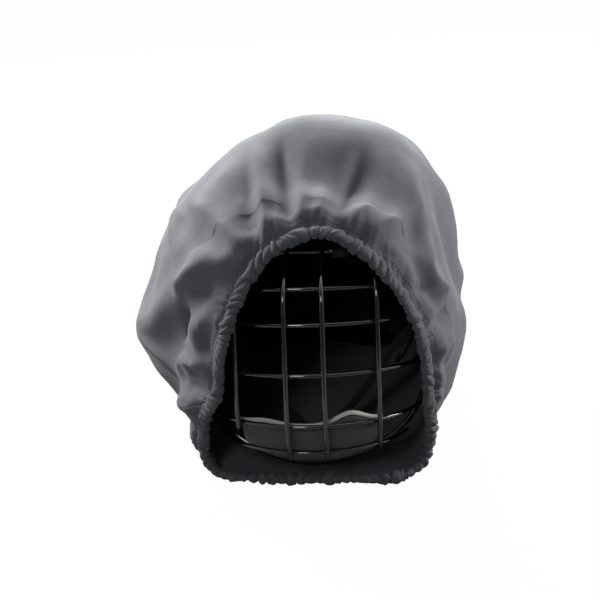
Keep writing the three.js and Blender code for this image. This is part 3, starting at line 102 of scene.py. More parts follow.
# Stitches of heavy bonded thread. On a cage strap they are sewn over two runs of its steps, near both edges.
STITCH = dict(pitch=3.3, long=2.5, thread=0.55)
SEWN_RUNS = ((58, 76), (128, 146))
SEWN_EDGES = (-0.36, 0.36)

COVER = dict(left=166, right=136, height=253, widest_up=66, back=176, floor_blend=34, puff=7,
             underside=1.15, cloth=1.0)
MOUTH = dict(half_width=100, height=209, reach=165, centre_across=8, centre_up=78)
MOUTH_SHARES = [
    (0.93, -0.8, 0.32), (0.91, -0.82, 0.47), (0.85, -0.84, 0.64), (0.7, -0.84, 0.8),
    (0.5, -0.82, 0.915), (0.14, -0.77, 1.0), (-0.22, -0.83, 0.95), (-0.43, -0.92, 0.845),
    (-0.55, -0.98, 0.72), (-0.63, -1.01, 0.585), (-0.665, -1.0, 0.475), (-0.74, -0.965, 0.39),
    (-0.83, -0.895, 0.3), (-0.86, -0.87, 0.2), (-0.88, -0.83, 0.1), (-0.78, -0.86, 0.034),
    (-0.5, -0.91, 0.034), (0.14, -0.92, 0.034), (0.73, -0.89, 0.034), (0.89, -0.82, 0.065),
    (0.95, -0.79, 0.175),
]
SECTIONS = [
    dict(back=0.22, lean=0.16, left=0.72, right=0.875, up=0.905, low=0, rounds=(2.4, 2.4, 2.3)),
    dict(back=0.432, lean=0.12, left=1, right=0.967, up=1, low=0, rounds=(1.65, 2.22, 1.9)),
    dict(back=0.654, lean=0.06, left=0.964, right=0.967, up=0.955, low=0, rounds=(1.75, 2.22, 1.9)),
    dict(back=0.848, lean=0, left=0.735, right=0.84, up=0.83, low=0, rounds=(1.95, 2.2, 2)),
    dict(back=0.961, lean=-0.1, left=0.4, right=0.46, up=0.66, low=0.09, rounds=(2, 2, 2)),
]
LAST_RUN = len(SECTIONS) + 1

# The cover is one bag in two pieces that meet on a plane across it, so that the front can be pushed back.
# The cloth is brought to that plane from so far on either side.
FRONT_PLANE = -95
PLANE_HOLD = 18

# The rolled hem: half its width along the cloth, half its thickness, and its pleats
HEM_WIDE, HEM_THICK = 8.2, 5.6
HEM_STEPS, HEM_AROUND = 2200, 32
PLEAT = dict(least=5.0, most=10.5, depth=0.55, sharp=0.42, crease=0.24)

# The row of stitches beside the hem, how far beyond it and how high on the cloth, and the elastic in the hem
SEAM_BEYOND, SEAM_LIFT = 2.2, 0.12
ELASTIC = dict(radius=2.2, steps=260, around=12)

# The cloth beside the hem: where folds begin, how high pleats and tucks stand, and how far the tucks run out
FOLDS_BEGIN = 16
GATHERS = dict(pleat=2.9, tuck=2.4, tuck_start=12, tuck_reach=38)

# Random swelling of the slack cloth: (size, seed, strength)
SWELLS = [(46, 3, 1.1), (19, 5, 0.35)]

# Small steps round the bag and back over it, for finding its directions
TURN_STEP, RUN_STEP = 0.004, 0.02

# How finely lines are drawn
MOUTH_SAMPLES, FINE_SAMPLES, FOLD_STEPS = 1600, 4001, 48
FRAME_STEPS, BAR_STEPS, POST_STEPS, STRAP_STEPS, PIPING_STEPS = 360, 72, 60, 150, 90
CUP_STEPS = (72, 28)
ROUND_STEPS, FRONT_STEPS, BACK_STEPS = 640, 46, 62

# Frames of cloth simulation for a pad, and how far it may move a point
PAD_FRAMES, PAD_SWELL = 12, 0.9

# Small tools


def mix(a, b, share):
    return a + (b - a) * share


def ease(share):
    t = np.clip(share, 0, 1)
    return t * t * (3 - 2 * t)


def unit(vectors):
    return vectors / np.maximum(np.linalg.norm(vectors, axis=-1, keepdims=True), 1e-9)


def length_along(path):
    return np.concatenate([[0], np.cumsum(np.linalg.norm(np.diff(path, axis=0), axis=1))])


def stacked(*parts):
    """Coordinates side by side in a last axis, each stretched to the shape of them all."""
    return np.stack(np.broadcast_arrays(*parts), -1)


def linear(hex_colour, factor=1):
    """An sRGB colour such as #7b7c80 as the linear colour that a shader wants, made darker or lighter."""
    parts = [int(hex_colour[i:i + 2], 16) / 255 for i in (1, 3, 5)]
    return [factor * (p / 12.92 if p <= 0.04045 else ((p + 0.055) / 1.055) ** 2.4) for p in parts] + [1]


def read_along(keys, values, at):
    """A smooth curve through the values at the keys, read at any place between them."""
    keys, values = np.asarray(keys, float), np.asarray(values, float)
    at = np.clip(at, keys[0], keys[-1])
    last = len(keys) - 1
    low, top = np.maximum(np.arange(last + 1) - 1, 0), np.minimum(np.arange(last + 1) + 1, last)
    slopes = (values[top] - values[low]) / (keys[top] - keys[low])
    k = np.clip(np.searchsorted(keys, at) - 1, 0, last - 1)
    step = keys[k + 1] - keys[k]
    t = (at - keys[k]) / step
    return ((2 * t**3 - 3 * t**2 + 1) * values[k] + (t**3 - 2 * t**2 + t) * step * slopes[k]
            + (3 * t**2 - 2 * t**3) * values[k + 1] + (t**3 - t**2) * step * slopes[k + 1])


def smooth_curve(points, count, closed=False):
    """A centripetal curve through the points."""
    p = np.asarray(points, float)
    if not closed:
        p = np.vstack([2 * p[0] - p[1], p, 2 * p[-1] - p[-2]])
    n = len(p)
    spans = n if closed else n - 3
    out = []
    for s in np.linspace(0, spans, count, endpoint=not closed):
        i = min(int(s), spans - 1)
        t = s - i
        first = i - 1 if closed else i
        x0, x1, x2, x3 = (p[(first + k) % n] for k in range(4))
        d0, d1, d2 = (max(np.linalg.norm(b - a), 1e-6) ** 0.5 for a, b in ((x0, x1), (x1, x2), (x2, x3)))
        m1 = ((x1 - x0) / d0 - (x2 - x0) / (d0 + d1) + (x2 - x1) / d1) * d1
        m2 = ((x2 - x1) / d1 - (x3 - x1) / (d1 + d2) + (x3 - x2) / d2) * d1
        cube, square = 2 * x1 - 2 * x2 + m1 + m2, -3 * x1 + 3 * x2 - 2 * m1 - m2
        out.append(x1 + m1 * t + square * t**2 + cube * t**3)
    return np.array(out)


def signed_volume(points, faces):
    total = 0.0
    for corners in {len(face) for face in faces}:
        index = np.array([face for face in faces if len(face) == corners])
        for k in range(1, corners - 1):
            turned = np.cross(points[index[:, k]], points[index[:, k + 1]])
            total += float((points[index[:, 0]] * turned).sum())
    return total


def link_object(name, data):
    made = bpy.data.objects.new(name, data)
    bpy.context.scene.collection.objects.link(made)
    return made


def smooth_shade(mesh, sharp=None):
    """Smooth shading all over, but for edges that turn by more than an angle in degrees."""
    mesh.polygons.foreach_set("use_smooth", [True] * len(mesh.polygons))
    if sharp is not None:
        mesh.set_sharp_from_angle(angle=math.radians(sharp))


def add_piece(name, points, faces, material, uvs=None, closed=True, sharp=None):
    """A mesh piece from points in millimetres, its faces turned outwards."""
    points = np.asarray(points, float)
    if closed and signed_volume(points, faces) < 0:
        faces = [tuple(reversed(face)) for face in faces]
    mesh = bpy.data.meshes.new(name)
    mesh.from_pydata((points * MM).tolist(), [], [tuple(map(int, face)) for face in faces])
    if uvs is not None:
        layer = mesh.uv_layers.new(name="UVMap")
        corner = np.empty(len(mesh.loops), int)
        mesh.loops.foreach_get("vertex_index", corner)
        layer.data.foreach_set("uv", np.asarray(uvs, float)[corner].ravel())
    smooth_shade(mesh, sharp)
    mesh.materials.append(material)
    mesh.update()
    return link_object(name, mesh)


def grid_faces(rows, columns, wrap_rows=False, wrap_columns=False, first=0):
    faces = []
    for r in range(rows if wrap_rows else rows - 1):
        for c in range(columns if wrap_columns else columns - 1):
            r1, c1 = (r + 1) % rows, (c + 1) % columns
            faces.append((first + r * columns + c, first + r1 * columns + c,
                          first + r1 * columns + c1, first + r * columns + c1))
    return faces


def path_frames(path, closed):
    """Two directions square to a path that turn as little as they can along it."""
    ahead = np.roll(path, -1, 0) - np.roll(path, 1, 0) if closed else np.gradient(path, axis=0)
    ahead = unit(ahead)
    start = np.cross(ahead[0], [0, 0, 1.0])
    if np.linalg.norm(start) < 0.2:
        start = np.cross(ahead[0], [1.0, 0, 0])
    sides = [start / np.linalg.norm(start)]
    for i in range(1, len(path)):
        side = sides[-1] - ahead[i] * np.dot(sides[-1], ahead[i])
        sides.append(side / np.linalg.norm(side))
    sides = np.array(sides)
    ups = np.cross(ahead, sides)
    if closed:
        side = sides[-1] - ahead[0] * np.dot(sides[-1], ahead[0])
        off = math.atan2(np.dot(side, ups[0]), np.dot(side, sides[0]))
        turn = -off * np.arange(len(path)) / len(path)
        c, s = np.cos(turn)[:, None], np.sin(turn)[:, None]
        sides, ups = sides * c + ups * s, ups * c - sides * s
    return ahead, sides, ups


def tube(path, radius, around=16, closed=False):
    """A round wire along a path, with rounded ends. Returns points, faces and UVs in metres."""
    path = np.asarray(path, float)
    ahead, sides, ups = path_frames(path, closed)
    turns = 2 * np.pi * np.arange(around) / around
    ring = np.stack([np.cos(turns), np.sin(turns)], -1)
    length = length_along(path)
    rings = [(path[i], radius, i, length[i]) for i in range(len(path))]
    ends = [] if closed else [(0, -1), (len(path) - 1, 1)]
    for end, way in ends:
        cap = []
        for angle in (0.5, 1.0, 1.35):
            centre = path[end] + ahead[end] * way * radius * math.sin(angle)
            cap.append((centre, radius * math.cos(angle), end, length[end] + way * radius * angle))
        rings = cap[::-1] + rings if way < 0 else rings + cap
    centres, radii, which, along = (np.array(values) for values in zip(*rings))
    points = (centres[:, None] + radii[:, None, None]
              * (sides[which][:, None] * ring[None, :, :1] + ups[which][:, None] * ring[None, :, 1:]))
    rows = len(centres)
    faces = grid_faces(rows, around, wrap_rows=closed, wrap_columns=True)
    points = points.reshape(-1, 3)
    uvs = stacked(turns[None] * radius * MM, along[:, None] * MM).reshape(-1, 2)
    for end, way in ends:
        first = 0 if way < 0 else (rows - 1) * around
        pole = len(points)
        points = np.vstack([points, path[end] + ahead[end] * way * radius])
        uvs = np.vstack([uvs, uvs[first]])
        for k in range(around):
            a, b = first + k, first + (k + 1) % around
            faces.append((pole, b, a) if way > 0 else (pole, a, b))
    return points, faces, uvs


def ribbon(path, wide_ways, width, thick):
    """Woven strap along a path: a flat oval. Returns points, faces, UVs in metres and the ways out of it."""
    ahead = unit(np.gradient(path, axis=0))
    out = unit(np.cross(ahead, wide_ways))
    wide = unit(np.cross(out, ahead))
    turns = 2 * np.pi * np.arange(20) / 20
    across = np.sign(np.cos(turns)) * np.abs(np.cos(turns)) ** 0.35 * width / 2
    depth = np.sign(np.sin(turns)) * np.abs(np.sin(turns)) ** 0.7 * thick / 2
    points = path[:, None] + across[None, :, None] * wide[:, None] + depth[None, :, None] * out[:, None]
    rows, columns = points.shape[:2]
    faces = grid_faces(rows, columns, wrap_columns=True)
    faces += [tuple(range(columns)), tuple(range((rows - 1) * columns, rows * columns))[::-1]]
    uvs = stacked(length_along(path)[:, None] * MM, across[None] * MM)
    return points.reshape(-1, 3), faces, uvs.reshape(-1, 2), out


def settle(piece):
    """Applies all the modifiers of a piece, so that it is a plain mesh."""
    view = bpy.context.evaluated_depsgraph_get()
    made = bpy.data.meshes.new_from_object(piece.evaluated_get(view))
    piece.modifiers.clear()
    old, piece.data = piece.data, made
    bpy.data.meshes.remove(old)


def stitch_tree():
    """Geometry Nodes: a stitch laid on a line at every pitch, turned to run along it."""
    tree = bpy.data.node_groups.new("thread_stitches_along_a_line", "GeometryNodeTree")
    inputs = {"Line": "Geometry", "Pitch": "Float", "Stitch length": "Float", "Thread": "Float",
              "Material": "Material"}
    for label, kind in inputs.items():
        tree.interface.new_socket(label, in_out="INPUT", socket_type=f"NodeSocket{kind}")
    tree.interface.new_socket("Stitches", in_out="OUTPUT", socket_type="NodeSocketGeometry")
    start = node(tree, "NodeGroupInput").outputs
    line = node(tree, "GeometryNodeMeshToCurve", Mesh=start["Line"]).outputs["Curve"]
    spots = node(tree, "GeometryNodeResampleCurve", dict(mode="LENGTH"), Curve=line, Length=start["Pitch"])
    stitch = node(tree, "GeometryNodeMeshUVSphere", Segments=8, Rings=5, Radius=0.5).outputs["Mesh"]
    tangent = node(tree, "GeometryNodeInputTangent").outputs["Tangent"]
    turn = node(tree, "FunctionNodeAlignRotationToVector", dict(axis="Z"), Vector=tangent).outputs["Rotation"]
    size = node(tree, "ShaderNodeCombineXYZ", X=start["Thread"], Y=start["Thread"], Z=start["Stitch length"])
    laid = node(tree, "GeometryNodeInstanceOnPoints", Points=spots.outputs["Curve"], Instance=stitch,
                Rotation=turn, Scale=size.outputs["Vector"]).outputs["Instances"]
    real = node(tree, "GeometryNodeRealizeInstances", Geometry=laid).outputs["Geometry"]
    smooth = node(tree, "GeometryNodeSetShadeSmooth", Geometry=real).outputs["Geometry"]
    painted = node(tree, "GeometryNodeSetMaterial", Geometry=smooth, Material=start["Material"])
    node(tree, "NodeGroupOutput", Stitches=painted.outputs["Geometry"])
    return tree


def stitch_rows(name, lines, tree, material, body):
    """Rows of stitches along lines in millimetres, as one plain mesh that rides on a body."""
    points, edges = [], []
    for line in lines:
        first = len(points)
        points += [tuple(p) for p in np.asarray(line) * MM]
        edges += [(k, k + 1) for k in range(first, len(points) - 1)]
    mesh = bpy.data.meshes.new(name)
    mesh.from_pydata(points, edges, [])
    piece = link_object(name, mesh)
    sewn = piece.modifiers.new("sewn", "NODES")
    sewn.node_group = tree
    values = {"Pitch": STITCH["pitch"] * MM, "Stitch length": STITCH["long"] * MM,
              "Thread": STITCH["thread"] * MM, "Material": material}
    for item in tree.interface.items_tree:
        if item.in_out == "INPUT" and item.name in values:
            sewn[item.identifier] = values[item.name]
    settle(piece)
    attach(piece, body)
    return piece


# Where things are

WORN_BACK = CHIN_WIRE_FORWARD + 95 * math.cos(LEAN) - 8.5 * math.sin(LEAN)
WORN_UP = (COVER["cloth"] + 0.4 + FRAME_RADIUS) - 95 * math.sin(LEAN) - 8.5 * math.cos(LEAN)


def leant(points):
    """Points of the helmet as worn, leant back to where they rest."""
    points = np.asarray(points, float)
    x, y, z = points[..., 0], points[..., 1], points[..., 2]
    c, s = math.cos(LEAN), math.sin(LEAN)
    return np.stack([x, y * c + z * s + WORN_BACK, z * c - y * s + WORN_UP], -1)


def cage_at(turn, up):
    half = read_along(CAGE_UPS, CAGE_WIDTHS, up)
    deep = CAGE_BACK - read_along(CAGE_UPS, CAGE_FORWARDS, up)
    return stacked(half * np.sin(turn), CAGE_BACK - deep * np.cos(turn), up)


def cage_point(turn, up, layer):
    """A point on the cage's surface by turn and height, lifted off it by a layer."""
    turn, up = np.asarray(turn, float), np.asarray(up, float)
    d, h = 0.01, BAR_RADIUS / 4
    normal = unit(np.cross(cage_at(turn + d, up) - cage_at(turn - d, up),
                           cage_at(turn, up + h) - cage_at(turn, up - h)))
    return cage_at(turn, up) + normal * np.asarray(layer, float)[..., None]


def cage_across(across, up, layer):
    half = read_along(CAGE_UPS, CAGE_WIDTHS, up)
    return cage_point(np.arcsin(np.clip(across / half, -1, 1)), up, layer)


_mouth_line = smooth_curve([(x * MOUTH["half_width"], y * MOUTH["reach"], z * MOUTH["height"])
                            for x, y, z in MOUTH_SHARES], MOUTH_SAMPLES, closed=True)
_up = _mouth_line[:, 2] - MOUTH["centre_up"]
_rise = np.where(_up > 0, MOUTH["height"] - MOUTH["centre_up"], MOUTH["centre_up"])
_turns = (np.arctan2(_up / _rise, (_mouth_line[:, 0] - MOUTH["centre_across"]) / MOUTH["half_width"])
          / (2 * np.pi)) % 1
_order = np.argsort(_turns)
_turns, _mouth_line = _turns[_order], _mouth_line[_order]


def mouth_point(turn):
    return np.stack([np.interp(np.asarray(turn) % 1, _turns, _mouth_line[:, k], period=1)
                     for k in range(3)], -1)


def section_point(section, turn):
    angle = 2 * np.pi * np.asarray(turn)
    c, s = np.cos(angle), np.sin(angle)
    upper_left, upper_right, lower = section["rounds"]
    power = np.where(s < 0, lower, np.where(c > 0, upper_right, upper_left))
    reach = (np.abs(c) ** power + np.abs(s) ** power) ** (-1 / power)
    half = np.where(c > 0, section["right"] * COVER["right"], section["left"] * COVER["left"])
    low = section["low"] * COVER["height"]
    rise = np.where(s > 0, section["up"] * COVER["height"] - COVER["widest_up"],
                    (COVER["widest_up"] - low) * COVER["underside"])
    up = np.maximum(low, COVER["widest_up"] + rise * s * reach)
    back = mix(-MOUTH["reach"], COVER["back"], section["back"])
    return np.stack([half * c * reach, back + section["lean"] * (up - COVER["widest_up"]), up], -1)


REAR_POINT = np.array([-0.05 * COVER["left"], COVER["back"], 0.33 * COVER["height"]])


def cover_base(turn, run):
    """The plain bag: turn goes round its mouth, run counts its cross sections back from the mouth."""
    turn, run = np.broadcast_arrays(np.asarray(turn, float), np.asarray(run, float))
    lines = [mouth_point(turn)] + [section_point(s, turn) for s in SECTIONS]
    lines.append(np.broadcast_to(REAR_POINT, turn.shape + (3,)))
    lines = np.stack([2 * lines[0] - lines[1]] + lines + [2 * lines[-1] - lines[-2]])
    k = np.clip(np.floor(run).astype(int), 0, LAST_RUN - 1)
    t = (run - k)[..., None]
    place = tuple(np.indices(turn.shape))
    p0, p1, p2, p3 = (lines[(k + i,) + place] for i in range(4))
    point = (2 * p1 + (p2 - p0) * t + (2 * p0 - 5 * p1 + 4 * p2 - p3) * t**2
             + (3 * p1 - p0 - 3 * p2 + p3) * t**3) / 2
    flat = 1 - ease((mouth_point(turn)[..., 2] / MOUTH["height"] - 0.04) / 0.05)
    point[..., 2] = np.maximum(0, point[..., 2] * (1 - flat * ease(run / 0.35)))
    return point


def cover_normal(turn, run):
    turn, run = np.broadcast_arrays(np.asarray(turn, float), np.asarray(run, float))
    further, nearer = np.minimum(LAST_RUN, run + RUN_STEP), np.maximum(0, run - RUN_STEP)
    along = cover_base(turn, further) - cover_base(turn, nearer)
    round_way = cover_base(turn + TURN_STEP, run) - cover_base(turn - TURN_STEP, run)
    return unit(np.cross(along, round_way))


# Pleats of the gathered hem: irregular cells along the mouth's line

rng = np.random.default_rng(7)
_fine_turns = np.linspace(0, 1, FINE_SAMPLES)
_fine_length = length_along(mouth_point(_fine_turns))
MOUTH_LENGTH = _fine_length[-1]


def cell_edges(least, most):
    """Edges of cells of uneven width that fill the mouth's line exactly once."""
    widths = []
    while sum(widths) < MOUTH_LENGTH:
        widths.append(rng.uniform(least, most))
    return np.concatenate([[0], np.cumsum(widths)]) * MOUTH_LENGTH / sum(widths)


PLEAT_EDGES = cell_edges(PLEAT["least"], PLEAT["most"])
PLEAT_HEIGHTS = rng.uniform(0.55, 1.15, len(PLEAT_EDGES))
PLEAT_REACH = rng.uniform(7, 17, len(PLEAT_EDGES))
CREASE_EDGES = cell_edges(1.8, 5.2)
CREASE_HEIGHTS = rng.uniform(0.1, 1.0, len(CREASE_EDGES))
TUCK_EDGES = cell_edges(13, 30)
TUCK_HEIGHTS = rng.uniform(0.35, 1.2, len(TUCK_EDGES))
_slant_keys = rng.uniform(-0.9, 0.9, 40)


def along_mouth(values, length):
    """Values that are set at even steps round the mouth, read at lengths along it."""
    steps = np.linspace(0, MOUTH_LENGTH, len(values))
    return np.interp(length, steps, values, period=MOUTH_LENGTH)


def slant(length):
    """How far the pleats lean along the hem at a place on it."""
    return along_mouth(_slant_keys, length % MOUTH_LENGTH)


def in_cell(edges, length):
    """Which cell a place on the mouth's line lies in, and its share of the way across the cell."""
    at = length % MOUTH_LENGTH
    k = np.clip(np.searchsorted(edges, at, side="right") - 1, 0, len(edges) - 2)
    return k, (at - edges[k]) / (edges[k + 1] - edges[k])


def pleats(length, across):
    """Puff of the pleats, 0 in a crease and 1 on a full pleat, at a distance across the hem."""
    k, share = in_cell(PLEAT_EDGES, length + slant(length) * across)
    return np.abs(np.sin(np.pi * share)) ** PLEAT["sharp"] * PLEAT_HEIGHTS[k], PLEAT_REACH[k]


def creases(length, across):
    """Fine creases over the pleats, leaning the other way where the cloth is caught."""
    k, share = in_cell(CREASE_EDGES, length - 1.3 * slant(length * 1.7) * across)
    return np.abs(np.sin(np.pi * share)) ** 0.6 * CREASE_HEIGHTS[k]


def tucks(length, across):
    k, share = in_cell(TUCK_EDGES, length + 0.6 * slant(length) * across)
    return np.sin(np.pi * share) ** 1.4 * TUCK_HEIGHTS[k]


# Folds of the bag: a line of (turn, run) places on it from the mouth back, the fold's height, and its width
# to the line's right and left. A hollow beside it has its distance, depth and width.

FOLDS = [
    # Over the dome, fanning from the top of the mouth
    ([(0.3, 0.12), (0.298, 0.6), (0.297, 1.2), (0.296, 1.8)], 6.5, (11, 5), (9, 6, 7)),
    ([(0.273, 0.1), (0.271, 0.6), (0.272, 1.2), (0.273, 1.7)], -8, (9, 10)),
    ([(0.262, 0.09), (0.254, 0.7), (0.25, 1.45)], 4.5, (10, 7)),
    ([(0.243, 0.1), (0.236, 0.45), (0.23, 0.9)], 3, (7, 6)),
    ([(0.227, 0.08), (0.214, 0.5), (0.202, 1.0), (0.194, 1.5)], -8.5, (10, 8)),
    ([(0.206, 0.1), (0.19, 0.6), (0.175, 1.2)], 5, (16, 8)),
    ([(0.313, 0.3), (0.32, 0.6), (0.327, 1.1)], -3.5, (7, 8)),
    ([(0.188, 0.1), (0.16, 0.55), (0.133, 1.25)], 6, (8, 10), (-13, 5, 8)),
    ([(0.156, 0.48), (0.144, 0.9), (0.142, 1.4), (0.142, 1.9)], 4, (9, 10)),
    # Left side: the long ridge from the mouth to the hoop, the hoop, and the ridges below it
    ([(0.322, 0.12), (0.342, 0.6), (0.359, 1.05), (0.374, 1.9)], 7, (9, 7), (12, 5, 8)),
    ([(0.334, 0.18), (0.358, 0.45), (0.381, 0.75), (0.401, 1.2)], 4.5, (9, 12)),
    ([(0.379, 0.85), (0.378, 1.3), (0.387, 2.2)], 3.5, (5, 4), (-9, 3, 6)),
    ([(0.416, 0.7), (0.407, 1.25), (0.397, 2.0), (0.392, 2.6)], 5, (16, 6), (11, 5, 8)),
    ([(0.339, 0.12), (0.366, 0.4), (0.395, 0.6), (0.437, 0.95), (0.47, 1.4), (0.49, 2.0)],
     14, (18, 8), (16, 8, 12)),
    ([(0.438, 0.08), (0.462, 0.4), (0.487, 0.9)], 7, (5, 8), (13, 4, 6)),
    ([(0.493, 1.0), (0.494, 1.35), (0.498, 1.8)], 5, (12, 4), (9, 6, 6)),
    ([(0.372, 0.12), (0.392, 0.1), (0.412, 0.09)], 3, (4, 5)),
    ([(0.477, 0.09), (0.488, 0.25), (0.499, 0.6)], -5, (5, 6)),
    ([(0.515, 0.1), (0.52, 0.5), (0.53, 1.0)], 5.5, (10, 9), (15, 4, 8)),
    # Right side: the long upright ridge that ends in a lobe over the low bulge
    ([(0.135, 1.4), (0.13, 1.2), (0.113, 0.8), (0.108, 0.5), (0.095, 0.55), (0.072, 0.82)],
     7, (12, 7), (-14, 4, 8)),
    ([(0.09, 0.35), (0.085, 0.6), (0.08, 0.8)], 4.5, (9, 9)),
    ([(0.112, 0.1), (0.1, 0.36), (0.088, 0.6)], -4, (4, 5)),
    ([(0.073, 0.09), (0.064, 0.5), (0.062, 0.95)], -7, (6, 5)),
    ([(0.045, 0.1), (0.04, 0.4), (0.035, 0.8)], 4.5, (8, 8)),
    ([(0.03, 0.2), (0.015, 0.6), (-0.003, 1.1)], -5.5, (9, 6)),
    ([(-0.02, 0.15), (-0.03, 0.5), (-0.045, 0.9)], 4.5, (8, 8)),
    ([(0.2, 2.1), (0.16, 2.1), (0.12, 2.2), (0.08, 2.4)], 4, (12, 5), (-8, 4, 5)),
    # Behind, where the slack hangs down the back
    ([(0.31, 2.05), (0.34, 2.1), (0.38, 2.15), (0.42, 2.3)], 4, (5, 12), (8, 3, 5)),
    ([(0.25, 2.6), (0.28, 3.2), (0.27, 4.2)], 4, (14, 14), (24, 2, 12)),
    ([(0.12, 2.7), (0.15, 3.4), (0.2, 4.4)], 4, (12, 16)),
    ([(0.4, 2.6), (0.38, 3.4), (0.33, 4.3)], 4.5, (14, 12), (-22, 3, 12)),
    ([(0.48, 2.4), (0.49, 3.1), (0.47, 3.9)], 5, (14, 12), (20, 3, 10)),
    ([(0.03, 2.4), (0.02, 3.1), (0.05, 3.9)], 5, (12, 14), (-20, 3, 10)),
    ([(0.2, 4.3), (0.26, 4.6), (0.33, 4.4)], 3.5, (10, 10), (-16, 2.5, 9)),
    ([(-0.02, 4.2), (0.02, 4.7), (0.1, 5.0)], 3.5, (10, 10)),
    ([(0.52, 4.2), (0.5, 4.8), (0.42, 5.1)], 3.5, (10, 10)),
]

# Where the slack cloth swells out or falls in: (turn, run, height, radius)
DENTS = [
    (0.45, 0.75, -7, 26), (0.455, 2.0, -11, 38), (0.565, 1.9, -9, 26), (0.07, 2.1, -15, 44),
    (-0.045, 1.9, -9, 24), (0.5, 2.1, 3, 26), (0.01, 2.0, 3, 26), (0.205, 0.75, -3, 30),
    (0.33, 1.2, 4, 34), (0.14, 1.6, 3, 34), (0.25, 3.6, -4, 46), (0.4, 3.5, 4, 40),
    (0.155, 2.9, 5, 46), (0.085, 3.0, 8, 40), (0.03, 2.35, -8, 28), (-0.015, 0.9, -12, 26),
    (-0.065, 0.75, -13, 24), (-0.1, 0.5, -6, 18), (0.54, 1.05, -12, 26),
]

# Where the cloth of the collar falls straight back between its ridges: (turn, run, how far back, radius)
HOLLOWS = [(0.425, 0.17, 9, 13), (0.465, 0.65, 12, 18), (0.478, 0.32, 8, 14), (0.055, 0.45, 9, 15)]

# The place at the left where two folds meet, and how far and how much the cloth goes slack there
CROSSED_FOLDS = np.array([-92.0, -110.0, 145.0])
SLACK_RADIUS, SLACK_PASSES = 15, 36


def fold_height(points):
    """Height of all the folds and dents over points of the plain bag."""
    height = np.zeros(len(points))
    for places, high, widths, *hollow in FOLDS:
        line = np.array(places, float)
        fine = smooth_curve(np.hstack([line, np.zeros((len(line), 1))]), FOLD_STEPS)[:, :2]
        at = cover_base(fine[:, 0], fine[:, 1])
        reach = 3 * max(widths) + (abs(hollow[0][0]) if hollow else 0)
        near = np.flatnonzero(((points > at.min(0) - reach) & (points < at.max(0) + reach)).all(1))
        if not len(near):
            continue
        squares = (at**2).sum(1) - 2 * points[near] @ at.T
        closest = squares.argmin(1)
        tangent = unit(np.gradient(at, axis=0))
        side = unit(np.cross(cover_normal(fine[:, 0], fine[:, 1]), tangent))
        picked = points[near] - at[closest]
        signed = (picked * side[closest]).sum(1)
        beyond = np.abs((picked * tangent[closest]).sum(1))
        share = closest / (len(at) - 1)
        fade = np.sin(np.pi * np.clip(share, 0.02, 0.98)) ** 0.6 * np.exp(-(beyond / 10) ** 2)
        minus, plus = widths
        aside = signed / np.where(signed > 0, plus, minus)
        bump = high * np.exp(0.5 - np.sqrt(0.25 + 3 * aside**2))
        for at_side, deep, wide in hollow:
            bump -= deep * np.exp(-((signed - at_side) / wide) ** 2)
        height[near] += bump * fade
    for dent_turn, dent_run, high, radius in DENTS:
        height += high * bell(points, cover_base(dent_turn, dent_run), radius)
    return height


def bell(points, centre, radius):
    return np.exp(-(np.linalg.norm(points - centre, axis=-1) / radius) ** 2)


def soft_noise(points, size, seed, strength):
    """Smooth random swelling of the cloth, from a few crossing waves of about one size."""
    local = np.random.default_rng(seed)
    height = np.zeros(len(points))
    for _ in range(14):
        way = unit(local.normal(size=3)) * 2 * np.pi / (size * local.uniform(0.7, 1.5))
        height += np.sin(points @ way + local.uniform(0, 2 * np.pi))
    return strength * height / math.sqrt(14)


# Cover cloth


